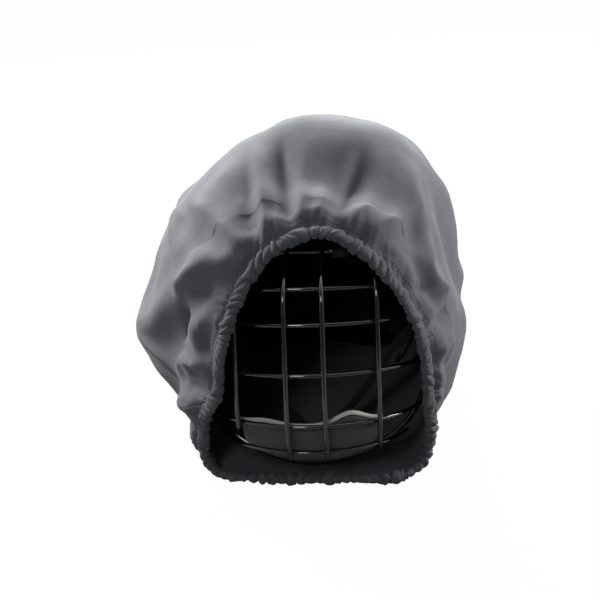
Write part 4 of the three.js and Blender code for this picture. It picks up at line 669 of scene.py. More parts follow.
def cover_grid():
    """Points of the cover's outer face, columns round the mouth and rows back from it, front rows first."""
    evened = 0.5 * _fine_length / MOUTH_LENGTH + 0.5 * _fine_turns
    turn = np.interp(np.linspace(0, 1, ROUND_STEPS, endpoint=False), evened, _fine_turns)
    fine_runs = np.linspace(0, 1.6, 161)
    columns = cover_base(turn[:, None], fine_runs[None])
    cut = np.array([np.interp(FRONT_PLANE, np.maximum.accumulate(c[:, 1]), fine_runs) for c in columns])
    even = np.linspace(0, 1, FRONT_STEPS)
    front = ease(even) * 0.35 + even**1.35 * 0.65
    back = np.linspace(0, 1, BACK_STEPS)[1:]
    runs = np.concatenate([cut[:, None] * front[None],
                           cut[:, None] + (LAST_RUN - cut[:, None]) * back[None]], 1)
    turns = np.broadcast_to(turn[:, None], runs.shape)
    base = cover_base(turns, runs)
    normal = cover_normal(turns, runs)
    flat_points = base.reshape(-1, 3)
    step = np.linalg.norm(np.diff(base, axis=1), axis=2)
    distance = np.concatenate([np.zeros((ROUND_STEPS, 1)), np.cumsum(step, 1)], 1)
    length = np.interp(turns, _fine_turns, _fine_length)

    off_floor = ease(base[..., 2] / COVER["floor_blend"])
    puff = COVER["puff"] * ease(runs / 0.3) * (1 - ease((runs - 0.45) / 0.55))
    height = fold_height(flat_points).reshape(runs.shape)
    for size, seed, strength in SWELLS:
        height += soft_noise(flat_points, size, seed, strength).reshape(runs.shape)
    for _ in range(5):
        height[:, 1:-1] = (height[:, :-2] + 2 * height[:, 1:-1] + height[:, 2:]) / 4
        height = (np.roll(height, 1, 0) + 2 * height + np.roll(height, -1, 0)) / 4
    height *= ease(distance / FOLDS_BEGIN)
    fine, reach = pleats(length, distance + HEM_WIDE)
    gathers = GATHERS["pleat"] * (fine - 0.6) * np.exp(-distance / reach)
    gathers += (GATHERS["tuck"] * (tucks(length, distance) - 0.45) * ease(distance / GATHERS["tuck_start"])
                * np.exp(-(distance / GATHERS["tuck_reach"]) ** 1.5))
    low = ease(base[..., 2] / 9)
    out = base + normal * (off_floor * (puff + height) + low * gathers)[..., None]
    for turn_at, run_at, back, radius in HOLLOWS:
        out[..., 1] += back * bell(base, cover_base(turn_at, run_at), radius) * ease(distance / FOLDS_BEGIN)
    out[..., 2] = np.maximum(0, out[..., 2])
    out = relax(out, CROSSED_FOLDS, SLACK_RADIUS, SLACK_PASSES)
    out[:, -1] = REAR_POINT
    return out, turns, distance


def relax(grid, centre, radius, passes):
    """Lets the cloth go slack round one place, where folds that cross would cut into each other."""
    weight = bell(grid, centre, radius)[..., None]
    for _ in range(passes):
        slack = grid.copy()
        slack[:, 1:-1] = (grid[:, :-2] + 2 * grid[:, 1:-1] + grid[:, 2:]) / 4
        slack = (np.roll(slack, 1, 0) + 2 * slack + np.roll(slack, -1, 0)) / 4
        grid = mix(grid, slack, weight)
    return grid


def hold_front_plane(grid):
    """Keeps the row where front and back meet on its plane, and eases the rows near it."""
    row = FRONT_STEPS - 1
    off = grid[:, row, 1] - FRONT_PLANE
    for k in range(grid.shape[1] - 1):
        away = np.linalg.norm(grid[:, k] - grid[:, row], axis=1)
        grid[:, k, 1] -= off * np.exp(-(away / PLANE_HOLD) ** 2)
    return grid


def grid_normals(grid):
    along = np.gradient(grid, axis=1)
    round_way = np.roll(grid, -1, 0) - np.roll(grid, 1, 0)
    normal = unit(np.cross(along, round_way))
    normal[:, -1] = [0, 1, 0]
    return normal


def cloth_piece(name, grid, normal, uv, material, pole=False):
    """A closed sheet of cloth: an outer and an inner face joined at its edges, or closed at a pole."""
    columns, rows = grid.shape[:2]
    inner = grid - normal * COVER["cloth"]
    inner[..., 2] = np.maximum(COVER["cloth"] * 0.6, inner[..., 2])
    points = np.vstack([grid.reshape(-1, 3), inner.reshape(-1, 3)])
    normals = np.vstack([normal.reshape(-1, 3), -normal.reshape(-1, 3)])
    count = columns * rows
    used_rows = rows - 1 if pole else rows
    faces = []
    for c in range(columns):
        a, b = c * rows, ((c + 1) % columns) * rows
        for r in range(used_rows - 1):
            faces.append((a + r, a + r + 1, b + r + 1, b + r))
            faces.append((count + a + r, count + b + r, count + b + r + 1, count + a + r + 1))
        faces.append((a, b, count + b, count + a))
        if pole:
            tip = rows - 1
            faces.append((a + rows - 2, tip, b + rows - 2))
            faces.append((count + a + rows - 2, count + b + rows - 2, count + tip))
        else:
            end = rows - 1
            faces.append((a + end, count + a + end, count + b + end, b + end))
    uvs = np.vstack([uv.reshape(-1, 2), uv.reshape(-1, 2)])
    if pole:
        keep = np.ones(len(points), bool)
        tips = np.arange(columns) * rows + rows - 1
        keep[tips[1:]] = False
        keep[count + tips[1:]] = False
        new = np.cumsum(keep) - 1
        faces = [tuple(int(new[i]) for i in face) for face in faces]
        points, normals, uvs = points[keep], normals[keep], uvs[keep]
    piece = add_piece(name, points, faces, material, uvs=uvs)
    piece.data.normals_split_custom_set_from_vertices([tuple(n) for n in normals])
    return piece


def hem_piece(name, material):
    """The rolled, gathered hem: a flat tube round the mouth's line, with puffed pleats."""
    length = np.linspace(0, MOUTH_LENGTH, HEM_STEPS, endpoint=False)
    turn = np.interp(length, _fine_length, _fine_turns)
    centre = mouth_point(turn)
    back = unit(cover_base(turn, 0.12) - cover_base(turn, 0))
    along = unit(mouth_point(turn + TURN_STEP) - mouth_point(turn - TURN_STEP))
    out = unit(np.cross(back, along))
    flat_back = unit(np.cross(along, out))
    phi = 2 * np.pi * np.arange(HEM_AROUND) / HEM_AROUND
    across = HEM_WIDE * np.cos(phi)
    puff, _ = pleats(length[:, None], across[None] + HEM_WIDE)
    wobble = along_mouth(rng.uniform(0.86, 1.12, 60), length)
    fine = creases(length[:, None], across[None] + HEM_WIDE)
    sunk = PLEAT["depth"] * (1 - np.clip(puff, 0, 1.1))
    size = wobble[:, None] * (1 - sunk - PLEAT["crease"] * (1 - fine))
    edge = 0.82 + 0.18 * np.abs(np.sin(phi))[None]
    wide_way = HEM_WIDE * np.cos(phi)[None] * mix(size, 1, 0.4) * edge
    points = (centre[:, None] + wide_way[..., None] * flat_back[:, None]
              + (HEM_THICK * np.sin(phi)[None] * size)[..., None] * out[:, None])
    shift = along_mouth(rng.uniform(-1.8, 1.8, 70), length)
    points += (shift[:, None] * np.cos(phi)[None] ** 2)[..., None] * flat_back[:, None]
    points[..., 2] = np.maximum(0.1, points[..., 2])
    uv = stacked(length[:, None] * 1.6 * MM, (phi * 6)[None] * MM)
    faces = grid_faces(HEM_STEPS, HEM_AROUND, wrap_rows=True, wrap_columns=True)
    return add_piece(name, points.reshape(-1, 3), faces, material, uvs=uv.reshape(-1, 2))


# Materials


def new_material(name):
    material = bpy.data.materials.new(name)
    material.use_nodes = True
    material.node_tree.nodes.clear()
    return material, material.node_tree


def node(tree, kind, settings=None, **inputs):
    """Adds a node with its settings. Its inputs, by name or as i0 and i1 by number, are values or links."""
    made = tree.nodes.new(kind)
    for key, value in (settings or {}).items():
        setattr(made, key, value)
    for key, value in inputs.items():
        numbered = key[0] == "i" and key[1:].isdigit()
        socket = made.inputs[int(key[1:]) if numbered else key.replace("_", " ")]
        if isinstance(value, bpy.types.NodeSocket):
            tree.links.new(value, socket)
        else:
            socket.default_value = value
    return made


def coordinates(tree, kind):
    return node(tree, "ShaderNodeTexCoord").outputs[kind]


def reckon(tree, operation, *values):
    inputs = {f"i{k}": value for k, value in enumerate(values)}
    return node(tree, "ShaderNodeMath", dict(operation=operation), **inputs).outputs[0]


def spread(tree, value, **ends):
    return node(tree, "ShaderNodeMapRange", Value=value, **ends).outputs["Result"]


def noise(tree, at, size, detail, rough=0.5):
    """Random patches of about a size in millimetres."""
    return node(tree, "ShaderNodeTexNoise", Vector=at, Scale=1000 / size, Detail=detail,
                Roughness=rough).outputs["Fac"]


def ribs(tree, at, axis, pitch, distortion):
    """Parallel ribs of a pitch in millimetres. A wave texture repeats every pi / 10 of its scaled vector."""
    return node(tree, "ShaderNodeTexWave", dict(wave_type="BANDS", bands_direction=axis), Vector=at,
                Scale=2 * math.pi / 20 * (1000 / pitch), Distortion=distortion, Detail=1.0,
                Detail_Scale=2.0).outputs["Fac"]


def tone_between(tree, share, dark, light):
    return node(tree, "ShaderNodeMix", dict(data_type="RGBA"), Factor=share, i6=dark, i7=light).outputs[2]


def relief(tree, strength, depth, height, **more):
    """Bumps of a depth in millimetres."""
    return node(tree, "ShaderNodeBump", Strength=strength, Distance=depth * MM, Height=height,
                **more).outputs["Normal"]


def finish_material(material, shader_out):
    end = material.node_tree.nodes.new("ShaderNodeOutputMaterial")
    material.node_tree.links.new(shader_out, end.inputs["Surface"])
    return material


def principled(material, **inputs):
    shader = node(material.node_tree, "ShaderNodeBsdfPrincipled", **inputs)
    return finish_material(material, shader.outputs["BSDF"])


def woven_cloth(name, light, dark, pitch, rough, rib_depth, crumple, sheen, turn=45, flat="UV"):
    """Cloth of spun yarn: fine ribs at a slant, a fleck of two yarn shades, painted shade in the ribs'
    grooves and a soft crumple.
    """
    material, tree = new_material(name)
    uv, solid = coordinates(tree, flat), coordinates(tree, "Object")
    turned = node(tree, "ShaderNodeMapping", Vector=uv, Rotation=(0, 0, math.radians(turn)))
    slanting = ribs(tree, turned.outputs["Vector"], "X", pitch, 0.6)
    crossing = ribs(tree, uv, "Y", pitch * 0.62, 0.8)
    # The slanting ribs make the colour lighter on their crests and darker in their grooves: painted shade, on
    # top of the real fleck of two yarn shades.
    yarn_fleck_and_rib_shade = reckon(tree, "MULTIPLY_ADD", slanting, 0.2, noise(tree, uv, 1.3, 2.0, 0.6))
    shade = reckon(tree, "MULTIPLY_ADD", noise(tree, solid, 70, 3.0), 0.5, yarn_fleck_and_rib_shade)
    tone = tone_between(tree, spread(tree, shade, From_Min=0.45, From_Max=1.3), linear(dark), linear(light))
    weave = reckon(tree, "MULTIPLY_ADD", crossing, 0.25, slanting)
    soft = relief(tree, 0.6, crumple[1], noise(tree, solid, crumple[0], 3.0))
    return principled(material, Base_Color=tone, Roughness=rough, Specular_IOR_Level=0.2, Sheen_Weight=sheen,
                      Sheen_Roughness=0.4, Normal=relief(tree, 0.7, rib_depth, weave, Normal=soft))


def moulded_plastic(name, colour, rough, grain, depth, coat=0.0, gloss=0.5):
    """Injection-moulded plastic: an even colour, a fine mould grain and faint scuffs in its gloss."""
    material, tree = new_material(name)
    solid = coordinates(tree, "Object")
    scuff = noise(tree, solid, 22, 6.0, 0.7)
    tone = tone_between(tree, scuff, linear(colour, 0.85), linear(colour, 1.2))
    roughness = spread(tree, scuff, From_Min=0.35, From_Max=0.75, To_Min=rough * 0.8, To_Max=rough * 1.35)
    return principled(material, Base_Color=tone, Roughness=roughness, IOR=1.49, Specular_IOR_Level=gloss,
                      Coat_Weight=coat, Coat_Roughness=0.08,
                      Normal=relief(tree, 0.4, depth, noise(tree, solid, grain, 3.0)))


def metal(name, colour, rough, grain):
    """Zinc-plated steel: a bright metal with a fine tumbled grain and a cloudy tone."""
    material, tree = new_material(name)
    solid = coordinates(tree, "Object")
    cloud = noise(tree, solid, 5, 4.0)
    tone = tone_between(tree, cloud, linear(colour, 0.8), linear(colour))
    roughness = spread(tree, cloud, To_Min=rough * 0.7, To_Max=rough * 1.3)
    return principled(material, Base_Color=tone, Roughness=roughness, Metallic=1.0,
                      Normal=relief(tree, 0.25, 0.05, noise(tree, solid, grain, 2.0)))


def cell_foam(name, colour):
    """Closed-cell EVA foam: matt, with a skin of tiny open cells whose pits are painted darker as painted
    shade.
    """
    material, tree = new_material(name)
    cells = node(tree, "ShaderNodeTexVoronoi", Vector=coordinates(tree, "Object"), Scale=1000 / 1.4)
    cells = cells.outputs["Distance"]
    # Darker towards the middle of each cell, where the bump sinks into a pit: painted shade.
    tone = tone_between(tree, cells, linear(colour, 0.6), linear(colour))
    return principled(material, Base_Color=tone, Roughness=0.85, Specular_IOR_Level=0.3,
                      Normal=relief(tree, 0.5, 0.3, cells))


# Polyester twill, piece-dyed charcoal: matt with a slanting rib. The real rib is under a millimetre, and is
# drawn at 1.6 mm so that it shows.
twill = woven_cloth("charcoal_polyester_twill", "#6a6c71", "#505257", 1.6, 0.9, 0.07, (26, 1.6), 0.12)
# The hem is the same twill doubled over, in slightly darker colours all over: painted shade for its creases
hem_twill_painted_shade = woven_cloth("charcoal_twill_hem_painted_shade", "#64666b", "#4a4c51", 1.4, 0.9, 0.08, (7, 0.6), 0.12)
# Brushed polyester knit over foam on the pads: black, soft and without gloss
knit = woven_cloth("black_brushed_knit", "#606166", "#3a3b3f", 1.2, 0.95, 0.12, (14, 0.6), 0.3, turn=0)
# The same knit on the pads inside, whose pile runs every way, in darker colours: painted shade inside the
# helmet
pad_knit_painted_shade = woven_cloth("black_knit_on_pads_painted_shade", "#434448", "#2a2b2e", 1.3, 0.95, 0.12, (14, 0.6), 0.3,
                       turn=30, flat="Object")
# Spun polyester thread, as dark as the cloth, so the stitches show by their relief
thread = woven_cloth("charcoal_bonded_thread", "#5a5c60", "#3c3e42", 0.5, 0.7, 0.05, (4, 0.1), 0.1,
                     flat="Object")
# Woven cotton cord cover, off-white, on the chin cup's edge
piping_cloth = woven_cloth("off_white_woven_piping", "#efece4", "#cfccc3", 0.9, 0.8, 0.1, (5, 0.2), 0.1)
# Nylon webbing, black, with a ribbed weave across it
webbing = woven_cloth("black_nylon_webbing", "#2d2e32", "#191a1c", 1.1, 0.7, 0.18, (12, 0.2), 0.1, turn=90)
# Braided polyester over rubber, dark grey
braid = woven_cloth("grey_braided_elastic", "#5a5b60", "#3a3b40", 0.9, 0.8, 0.15, (6, 0.1), 0.1, turn=35)
# Powder enamel baked on steel wire: glossy black that levels out in the oven to a faint orange peel
enamel = moulded_plastic("black_baked_wire_enamel", "#0d0e10", 0.13, 2.4, 0.02, coat=1.0, gloss=1.0)
# HDPE shell, injection moulded: smooth black with a soft gloss
shell_plastic = moulded_plastic("black_moulded_hdpe", "#131416", 0.3, 0.8, 0.03)
# Polycarbonate ear guard: smoked, glossier than the shell
guard_plastic = moulded_plastic("smoked_polycarbonate", "#3a3d42", 0.12, 1.5, 0.01)
# Nylon clips: satin black with a spark-eroded grain
clip_plastic = moulded_plastic("satin_black_nylon", "#222326", 0.42, 0.5, 0.06)
foam = cell_foam("black_eva_foam", "#232427")
steel = metal("zinc_plated_steel", "#b4b7bc", 0.32, 0.3)

# Camera, lights and floor

AZIMUTH, ELEVATION, ROLL = math.radians(5.477), math.radians(25.934), math.radians(3.531)
CAMERA_PLACE = (0.0612, -0.8053, 0.4852)
WHITE = (1, 1, 1, 1)
back_way = Vector((math.sin(AZIMUTH) * math.cos(ELEVATION), -math.cos(AZIMUTH) * math.cos(ELEVATION),
                   math.sin(ELEVATION)))
level = Vector((math.cos(AZIMUTH), math.sin(AZIMUTH), 0))
above = back_way.cross(level)
right_way = level * math.cos(ROLL) - above * math.sin(ROLL)
up_way = above * math.cos(ROLL) + level * math.sin(ROLL)
camera_data = bpy.data.cameras.new("camera")
camera_data.lens = 60
camera_data.sensor_width = 36
camera = link_object("camera", camera_data)
turn_matrix = Matrix((right_way, up_way, back_way)).transposed().to_4x4()
camera.matrix_world = Matrix.Translation(CAMERA_PLACE) @ turn_matrix
bpy.context.scene.camera = camera
bpy.context.scene.view_settings.view_transform = "Standard"


def softbox(name, place, aim, size, power):
    data = bpy.data.lights.new(name, "AREA")
    data.shape = "RECTANGLE"
    data.size, data.size_y = size
    data.energy = power
    way = Vector(place) - Vector(aim)
    turned = way.to_track_quat("Z", "Y").to_matrix().to_4x4()
    link_object(name, data).matrix_world = Matrix.Translation(place) @ turned


softbox("softbox_left", (-1.0, 0.75, 0.78), (0, 0, 0.1), (0.6, 0.5), 36)
softbox("softbox_right", (1.25, 0.45, 0.6), (0, 0, 0.1), (0.6, 0.5), 24)
softbox("softbox_behind", (-0.1, 1.25, 0.8), (0, 0, 0.12), (0.9, 0.5), 38)
softbox("softbox_front", (-0.3, -1.2, 1.1), (0, 0, 0.12), (0.3, 0.3), 3.0)

# The world is dim for the light it gives and white for the camera. Gloss sees a studio with a white wall
# behind the object and a dark room in front of it.
world = bpy.data.worlds.new("studio")
bpy.context.scene.world = world
world.use_nodes = True
studio = world.node_tree
studio.nodes.clear()
rays = node(studio, "ShaderNodeLightPath").outputs
glossy = reckon(studio, "MAXIMUM", rays["Is Glossy Ray"], rays["Is Transmission Ray"])
seen = reckon(studio, "MAXIMUM", rays["Is Camera Ray"], glossy)
way = node(studio, "ShaderNodeSeparateXYZ", Vector=coordinates(studio, "Generated")).outputs["Y"]
wall = spread(studio, way, From_Min=-0.5, From_Max=0.1, To_Min=0.08, To_Max=1.0)
white = reckon(studio, "MAXIMUM", rays["Is Camera Ray"], wall)
dim = node(studio, "ShaderNodeBackground", Color=WHITE, Strength=0.14).outputs[0]
bright = node(studio, "ShaderNodeBackground", Color=WHITE, Strength=white).outputs[0]
both = node(studio, "ShaderNodeMixShader", i0=seen, i1=dim, i2=bright)
end = studio.nodes.new("ShaderNodeOutputWorld")
studio.links.new(both.outputs[0], end.inputs["Surface"])

floor_paint, floor_tree = new_material("white_studio_floor")
rays = node(floor_tree, "ShaderNodeLightPath").outputs
lit = node(floor_tree, "ShaderNodeBsdfDiffuse", Color=linear("#8c8c8c")).outputs[0]
glow = node(floor_tree, "ShaderNodeEmission", Color=WHITE, Strength=1.05).outputs[0]
share = reckon(floor_tree, "MULTIPLY", rays["Is Camera Ray"], 0.93)
finish_material(floor_paint, node(floor_tree, "ShaderNodeMixShader", i0=share, i1=lit, i2=glow).outputs[0])
floor = add_piece("studio_floor", [(-3000, -3000, 0), (3000, -3000, 0), (3000, 3000, 0), (-3000, 3000, 0)],
                  [(0, 1, 2, 3)], floor_paint, closed=False)

# Cover

grid, turns, distance = cover_grid()
grid = hold_front_plane(grid)
normals = grid_normals(grid)
cloth_uv = np.stack([turns * 1.05, distance * MM], -1)
cover_front = cloth_piece("cover_front", grid[:, :FRONT_STEPS], normals[:, :FRONT_STEPS],
                          cloth_uv[:, :FRONT_STEPS], twill)
cover_bag = cloth_piece("cover_bag", grid[:, FRONT_STEPS - 1:], normals[:, FRONT_STEPS - 1:],
                        cloth_uv[:, FRONT_STEPS - 1:], twill, pole=True)
cover_hem = hem_piece("cover_hem", hem_twill_painted_shade)
for piece in (cover_front, cover_bag, cover_hem):
    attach(piece, "cover")
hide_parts("cover_mouth_collar")
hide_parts("cover_crown_panel", "cover_left_panel", "cover_base_panel", "cover_right_panel",
            "cover_rear_panel")
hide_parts("cover_mouth_casing")

elastic_length = np.linspace(0, MOUTH_LENGTH, ELASTIC["steps"], endpoint=False)
elastic_line = mouth_point(np.interp(elastic_length, _fine_length, _fine_turns))
points, faces, uvs = tube(elastic_line, ELASTIC["radius"], ELASTIC["around"], closed=True)
elastic = add_piece("cover_elastic_cord", points, faces, braid, uvs=uvs)
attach(elastic, "cover")
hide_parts("cover_elastic")

# A row of stitches holds the casing's outer edge
sewing = stitch_tree()
cloth_face = grid + normals * SEAM_LIFT
near = slice(FRONT_STEPS)
seam_row = np.array([[np.interp(HEM_WIDE + SEAM_BEYOND, distance[c, near], cloth_face[c, near, k])
                      for k in range(3)] for c in range(ROUND_STEPS)])
seam_row[:, 2] = np.maximum(seam_row[:, 2], STITCH["thread"] / 2)
seam_row = np.vstack([seam_row, seam_row[:1]])
casing_stitches = stitch_rows("cover_casing_stitches", [seam_row], sewing, thread, "cover")

for piece in (cover_front, cover_hem, elastic, casing_stitches):
    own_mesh(piece)

# Cage

bar_layer = FRAME_RADIUS + BAR_RADIUS + WELD_GAP
post_layer = bar_layer + BAR_RADIUS + POST_RADIUS + WELD_GAP * 2
post_end_layer = FRAME_RADIUS + POST_RADIUS + WELD_GAP

side_points = [cage_point(share * math.pi / 2, mix(CAGE_UPS[0], HINGE_UP, FRAME_UPS[i]), 0)
               for i, share in enumerate(FRAME_ANGLES)]
other_side = [p * [-1, 1, 1] for p in side_points][::-1]
top_points = [np.array([share * CLIP_SPAN, HINGE_FORWARD, HINGE_UP]) for share in (-1, -0.5, 0, 0.5, 1)]
frame_points = top_points + side_points + [cage_point(0, CAGE_UPS[0], 0)] + other_side
frame_line = smooth_curve(frame_points, FRAME_STEPS, closed=True)


def add_wire(name, path, radius, closed=False):
    points, faces, uvs = tube(leant(path), radius, 16, closed)
    wire = add_piece(f"{name}_wire", points, faces, enamel, uvs=uvs)
    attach(wire, "cage")
    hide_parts(name)


add_wire("cage_frame", frame_line, FRAME_RADIUS, closed=True)


def frame_turn(up):
    share = (up - CAGE_UPS[0]) / (HINGE_UP - CAGE_UPS[0])
    return read_along(FRAME_UPS[::-1], FRAME_ANGLES[::-1], share) * math.pi / 2


for name, up in BARS.items():
    end_turn = frame_turn(up) + FRAME_RADIUS / read_along(CAGE_UPS, CAGE_WIDTHS, up)
    turn = np.linspace(-end_turn, end_turn, BAR_STEPS)
    add_wire(name, cage_point(turn, up, bar_layer), BAR_RADIUS)

for name, (across, low) in POSTS.items():
    upper = frame_line[frame_line[:, 2] > BARS["eye_bar"]]
    top = upper[np.abs(upper[:, 0] - across).argmin()]
    end_point = cage_across(across, top[2], 0)
    outwards = cage_across(across, top[2], 1.0) - end_point
    top_end = top + outwards * post_end_layer
    up = np.linspace(low, top[2], POST_STEPS)
    near_top = ease((up - BARS["brow_bar"]) / (top[2] - BARS["brow_bar"])) ** 2
    add_wire(name, mix(cage_across(across, up, post_layer), top_end, near_top[:, None]), POST_RADIUS)

# Chin cup

cup_layer = bar_layer - BAR_RADIUS - GAP


def cup_point(share, rise, depth):
    lobe = np.exp(-((np.abs(share) - CUP["lobe_place"]) / CUP["lobe_width"]) ** 2)
    top = CUP["top"] + np.where(share > 0, 1, CUP["left_lobe"]) * CUP["lobe"] * lobe
    bottom = CUP["bottom"] + CUP["bottom_rise"] * np.abs(share) ** 3
    return cage_across(share * CUP["half_width"], mix(bottom, top, rise), cup_layer - depth)


rows, columns = CUP_STEPS
share, rise = np.meshgrid(np.linspace(-1, 1, rows), np.linspace(0, 1, columns), indexing="ij")
crown = np.sqrt(np.maximum(0, 1 - np.abs(2 * rise - 1) ** 4)) * np.sqrt(np.maximum(0, 1 - share**6))
rounding = (1 - crown) ** 2
front = cup_point(share, rise, rounding * CUP["rounding"])
behind = cup_point(share, rise, mix(CUP["edge"], CUP["thick"], crown))
cup_points = np.vstack([front.reshape(-1, 3), behind.reshape(-1, 3)])
faces = grid_faces(rows, columns)
faces += [tuple(reversed(face)) for face in grid_faces(rows, columns, first=rows * columns)]
numbers = np.arange(rows * columns).reshape(rows, columns)
rim = [*numbers[0], *numbers[1:, -1], *numbers[-1, -2::-1], *numbers[-2:0:-1, 0]]
for a, b in zip(rim, rim[1:] + rim[:1]):
    faces.append((a, b, b + rows * columns, a + rows * columns))
cup_uv = (np.stack([share, rise], -1) * CUP_CLOTH).reshape(-1, 2)
cup = add_piece("chin_cup_pad", leant(cup_points), faces, knit, uvs=np.vstack([cup_uv, cup_uv]))
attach(cup, "cage")
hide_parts("chin_cup")

lift = CUP["piping"] + GAP * 2
piping_line = cup_point(np.linspace(-1, 1, PIPING_STEPS), 1, CUP["piping"] + GAP) + [0, 0, lift]
points, faces, uvs = tube(leant(piping_line), CUP["piping"], 14)
piping = add_piece("chin_cup_edge_piping", points, faces, piping_cloth, uvs=uvs)
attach(piping, "cage")
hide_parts("chin_cup_piping")

# Straps: the cage straps hook round the frame's sides and run back to their snaps


def dome_half_width(offset, back, up):
    """Half the helmet's width inside its dome, at a place seen from the side."""
    rise = SHELL["crown"] if up > SHELL["up"] else SHELL["skirt"]
    along = (back - SHELL["back"]) / (SHELL["along"] - offset)
    high = (up - SHELL["up"]) / (rise - offset)
    return (SHELL["across"] - offset) * math.sqrt(max(0, 1 - along**2 - high**2))


def dome_normal(point):
    rise = SHELL["crown"] if point[2] > SHELL["up"] else SHELL["skirt"]
    return unit(np.array([point[0] / SHELL["across"] ** 2, (point[1] - SHELL["back"]) / SHELL["along"] ** 2,
                          (point[2] - SHELL["up"]) / rise**2]))


def side_wire(way):
    """The frame's side wire at the strap's height, and the way it runs there."""
    samples = frame_line[::6]
    off = np.where(samples[:, 0] * way > 0, np.abs(samples[:, 2] - STRAP["wire_up"]), np.inf)
    k = int(off.argmin())
    along = unit(samples[(k + 1) % len(samples)] - samples[k - 1])
    return samples[k], along if along[2] > 0 else -along


def add_strap(name, node_name, path, ways, width, thick, body):
    """A strap along a path of a few points. Returns its middle line, and the ways out of it and across it."""
    fine = smooth_curve(path, STRAP_STEPS)
    wide_ways = smooth_curve(np.asarray(ways, float), STRAP_STEPS)
    points, faces, uvs, out = ribbon(fine, wide_ways, width, thick)
    piece = add_piece(name, leant(points), faces, webbing, uvs=uvs, sharp=50)
    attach(piece, body)
    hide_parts(node_name)
    return fine, out, unit(np.cross(out, unit(np.gradient(fine, axis=0))))


for side, way in (("left", -1), ("right", 1)):
    wire, wire_way = side_wire(way)
    stand_off = FRAME_RADIUS + STRAP["thick"] / 2 + STRAP["clearance"]
    path = [wire + [-way * stand_off, stand_off / 2, 0], wire + [-way * stand_off / 2, -stand_off, 0],
            wire + [way * stand_off, -stand_off / 3, 0],
            wire + [way * stand_off, stand_off * 2, stand_off / 2]]
    for share in STRAP_SHARES:
        back = STRAP["snap_back"] + share * STRAP["width"]
        up = STRAP["snap_up"] + share * STRAP["width"] / 2
        on_shell = np.array([way * dome_half_width(0, back, up), back, up])
        path.append(on_shell + dome_normal(on_shell) * STRAP["seat"])
    ways = [wire_way if point[1] < wire[1] else np.array([0, -0.5, 1.0]) for point in path]
    body = frame["nodes"][f"cage_strap_{side}"]["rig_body"]
    fine, out, wide = add_strap(f"cage_strap_{side}_webbing", f"cage_strap_{side}", path, ways,
                                STRAP["width"], STRAP["thick"], body)
    outer = 1 if (out[-1] * [way, 0, 0]).sum() > 0 else -1
    rows = []
    for first, last in SEWN_RUNS:
        for edge in SEWN_EDGES:
            line = fine[first:last] + wide[first:last] * edge * STRAP["width"]
            rows.append(leant(line + out[first:last] * outer * STRAP["thick"] * 0.5))
    stitch_rows(f"cage_strap_{side}_stitches", rows, sewing, thread, body)

# The chin strap hangs from its anchors and passes under the chin
anchor_across = dome_half_width(CHIN_STRAP["inset"], CHIN_STRAP["guard_front"], CHIN_STRAP["anchor_low"])
right_side = [np.array([mix(anchor_across, 0, inward), mix(CHIN_STRAP["back"], CHIN_STRAP["low_back"], down),
                        mix(CHIN_STRAP["up"], CHIN_STRAP["low_up"], down)])
              for down, inward in CHIN_STRAP_SHARES]
chin_path = right_side + [point * [-1, 1, 1] for point in right_side[-2::-1]]
add_strap("chin_strap_webbing", "chin_strap", chin_path, [[0, 1, 0.3]] * len(chin_path),
          CHIN_STRAP["width"], CHIN_STRAP["thick"], "helmet")

# Foam and pads inside the helmet, from slightly smaller copies of their solids; the pads are swollen


def joined_copy(name, node_name, material):
    """A copy of a solid of the frame whose triangles share their corners."""
    mesh = bpy.data.meshes.new(name)
    work = bmesh.new()
    work.from_mesh(frame["nodes"][node_name].data)
    bmesh.ops.remove_doubles(work, verts=work.verts, dist=0.01 * MM)
    work.to_mesh(mesh)
    work.free()
    mesh.materials.clear()
    mesh.materials.append(material)
    return link_object(name, mesh)


def read_points(mesh):
    flat = np.empty(len(mesh.vertices) * 3)
    mesh.vertices.foreach_get("co", flat)
    return flat.reshape(-1, 3)


def write_points(mesh, points):
    mesh.vertices.foreach_set("co", points.ravel())
    mesh.update()


def swell(piece, pressure):
    """Blows a closed pad up as cloth, and caps how far a point may move."""
    start = read_points(piece.data)
    cloth = piece.modifiers.new("filled", "CLOTH")
    cloth.settings.use_pressure = True
    cloth.settings.uniform_pressure_force = pressure
    cloth.settings.effector_weights.gravity = 0
    cloth.settings.quality = 4
    scene = bpy.context.scene
    for step in range(1, PAD_FRAMES + 1):
        scene.frame_set(step)
    view = bpy.context.evaluated_depsgraph_get()
    made = bpy.data.meshes.new_from_object(piece.evaluated_get(view))
    moved = read_points(made) - start
    bpy.data.meshes.remove(made)
    piece.modifiers.clear()
    scene.frame_set(1)
    far = np.linalg.norm(moved, axis=1, keepdims=True)
    write_points(piece.data, start + moved * np.minimum(1, PAD_SWELL * MM / np.maximum(far, 1e-9)))


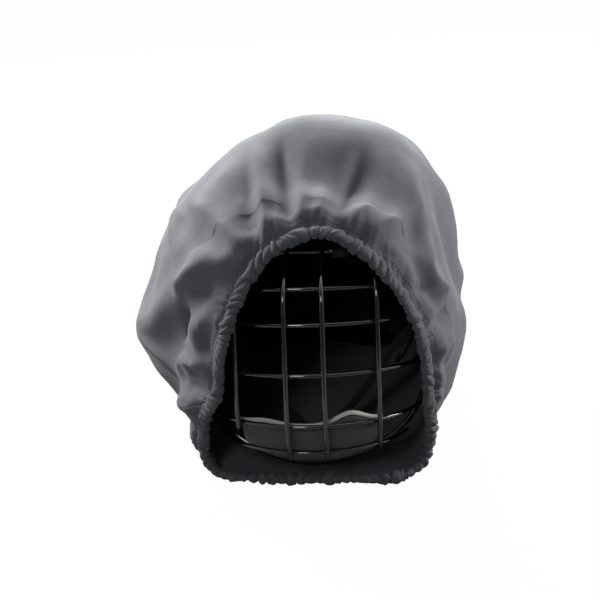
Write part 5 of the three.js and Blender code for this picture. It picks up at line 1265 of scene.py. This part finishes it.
def soft_filling(node_name, name, material, voxel, pressure=0):
    """A pad or liner in the space of its solid: an even mesh, rounded, and swollen if it has a pressure."""
    piece = joined_copy(name, node_name, material)
    even = piece.modifiers.new("even_mesh", "REMESH")
    even.mode = "VOXEL"
    even.voxel_size = voxel * MM
    settle(piece)
    round_off = piece.modifiers.new("rounded", "SMOOTH")
    round_off.factor = 0.5
    round_off.iterations = 5
    settle(piece)
    normals = np.array([v.normal for v in piece.data.vertices])
    write_points(piece.data, read_points(piece.data) - normals * (0.6 if pressure else 0.2) * MM)
    if pressure:
        swell(piece, pressure)
    finer = piece.modifiers.new("finer", "SUBSURF")
    finer.levels = finer.render_levels = 1
    settle(piece)
    smooth_shade(piece.data)
    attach(piece, frame["nodes"][node_name]["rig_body"])
    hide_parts(node_name)


for node_name in ("brow_pad", "crown_pad", "temple_pad_left", "temple_pad_right", "nape_pad"):
    soft_filling(node_name, f"{node_name}_cushion", pad_knit_painted_shade, 3.0, pressure=4)
for node_name in ("front_liner", "rear_liner"):
    soft_filling(node_name, f"{node_name}_foam", foam, 3.4)

# Rigid pieces kept from the frame, with their finishes. Mouldings are smooth-shaded copies of their solids.

FINISHES = dict(
    shell_plastic=shell_plastic, cage_enamel=enamel, foam=foam, pad_cloth=knit, screw_steel=steel,
    clip_plastic=clip_plastic, strap_webbing=webbing, guard_plastic=guard_plastic,
    elastic_rubber=braid, piping_cord=piping_cloth, cover_cloth=twill,
)
slots = {part["node"]: part["material_slot"] for part in frame["record"]["subparts"]}
for name, slot in slots.items():
    kept = bpy.data.objects.get(name)
    if kept and kept.type == "MESH":
        kept.data.materials.clear()
        kept.data.materials.append(FINISHES[slot])
moulded_names = ["front_shell", "rear_shell"]
for kind in ("ear_guard", "cage_clip", "cage_strap_snap"):
    moulded_names += [f"{kind}_left", f"{kind}_right"]
for name in moulded_names:
    moulded = joined_copy(f"{name}_moulding", name, FINISHES[slots[name]])
    smooth_shade(moulded.data, sharp=32)
    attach(moulded, frame["nodes"][name]["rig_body"])
    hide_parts(name)
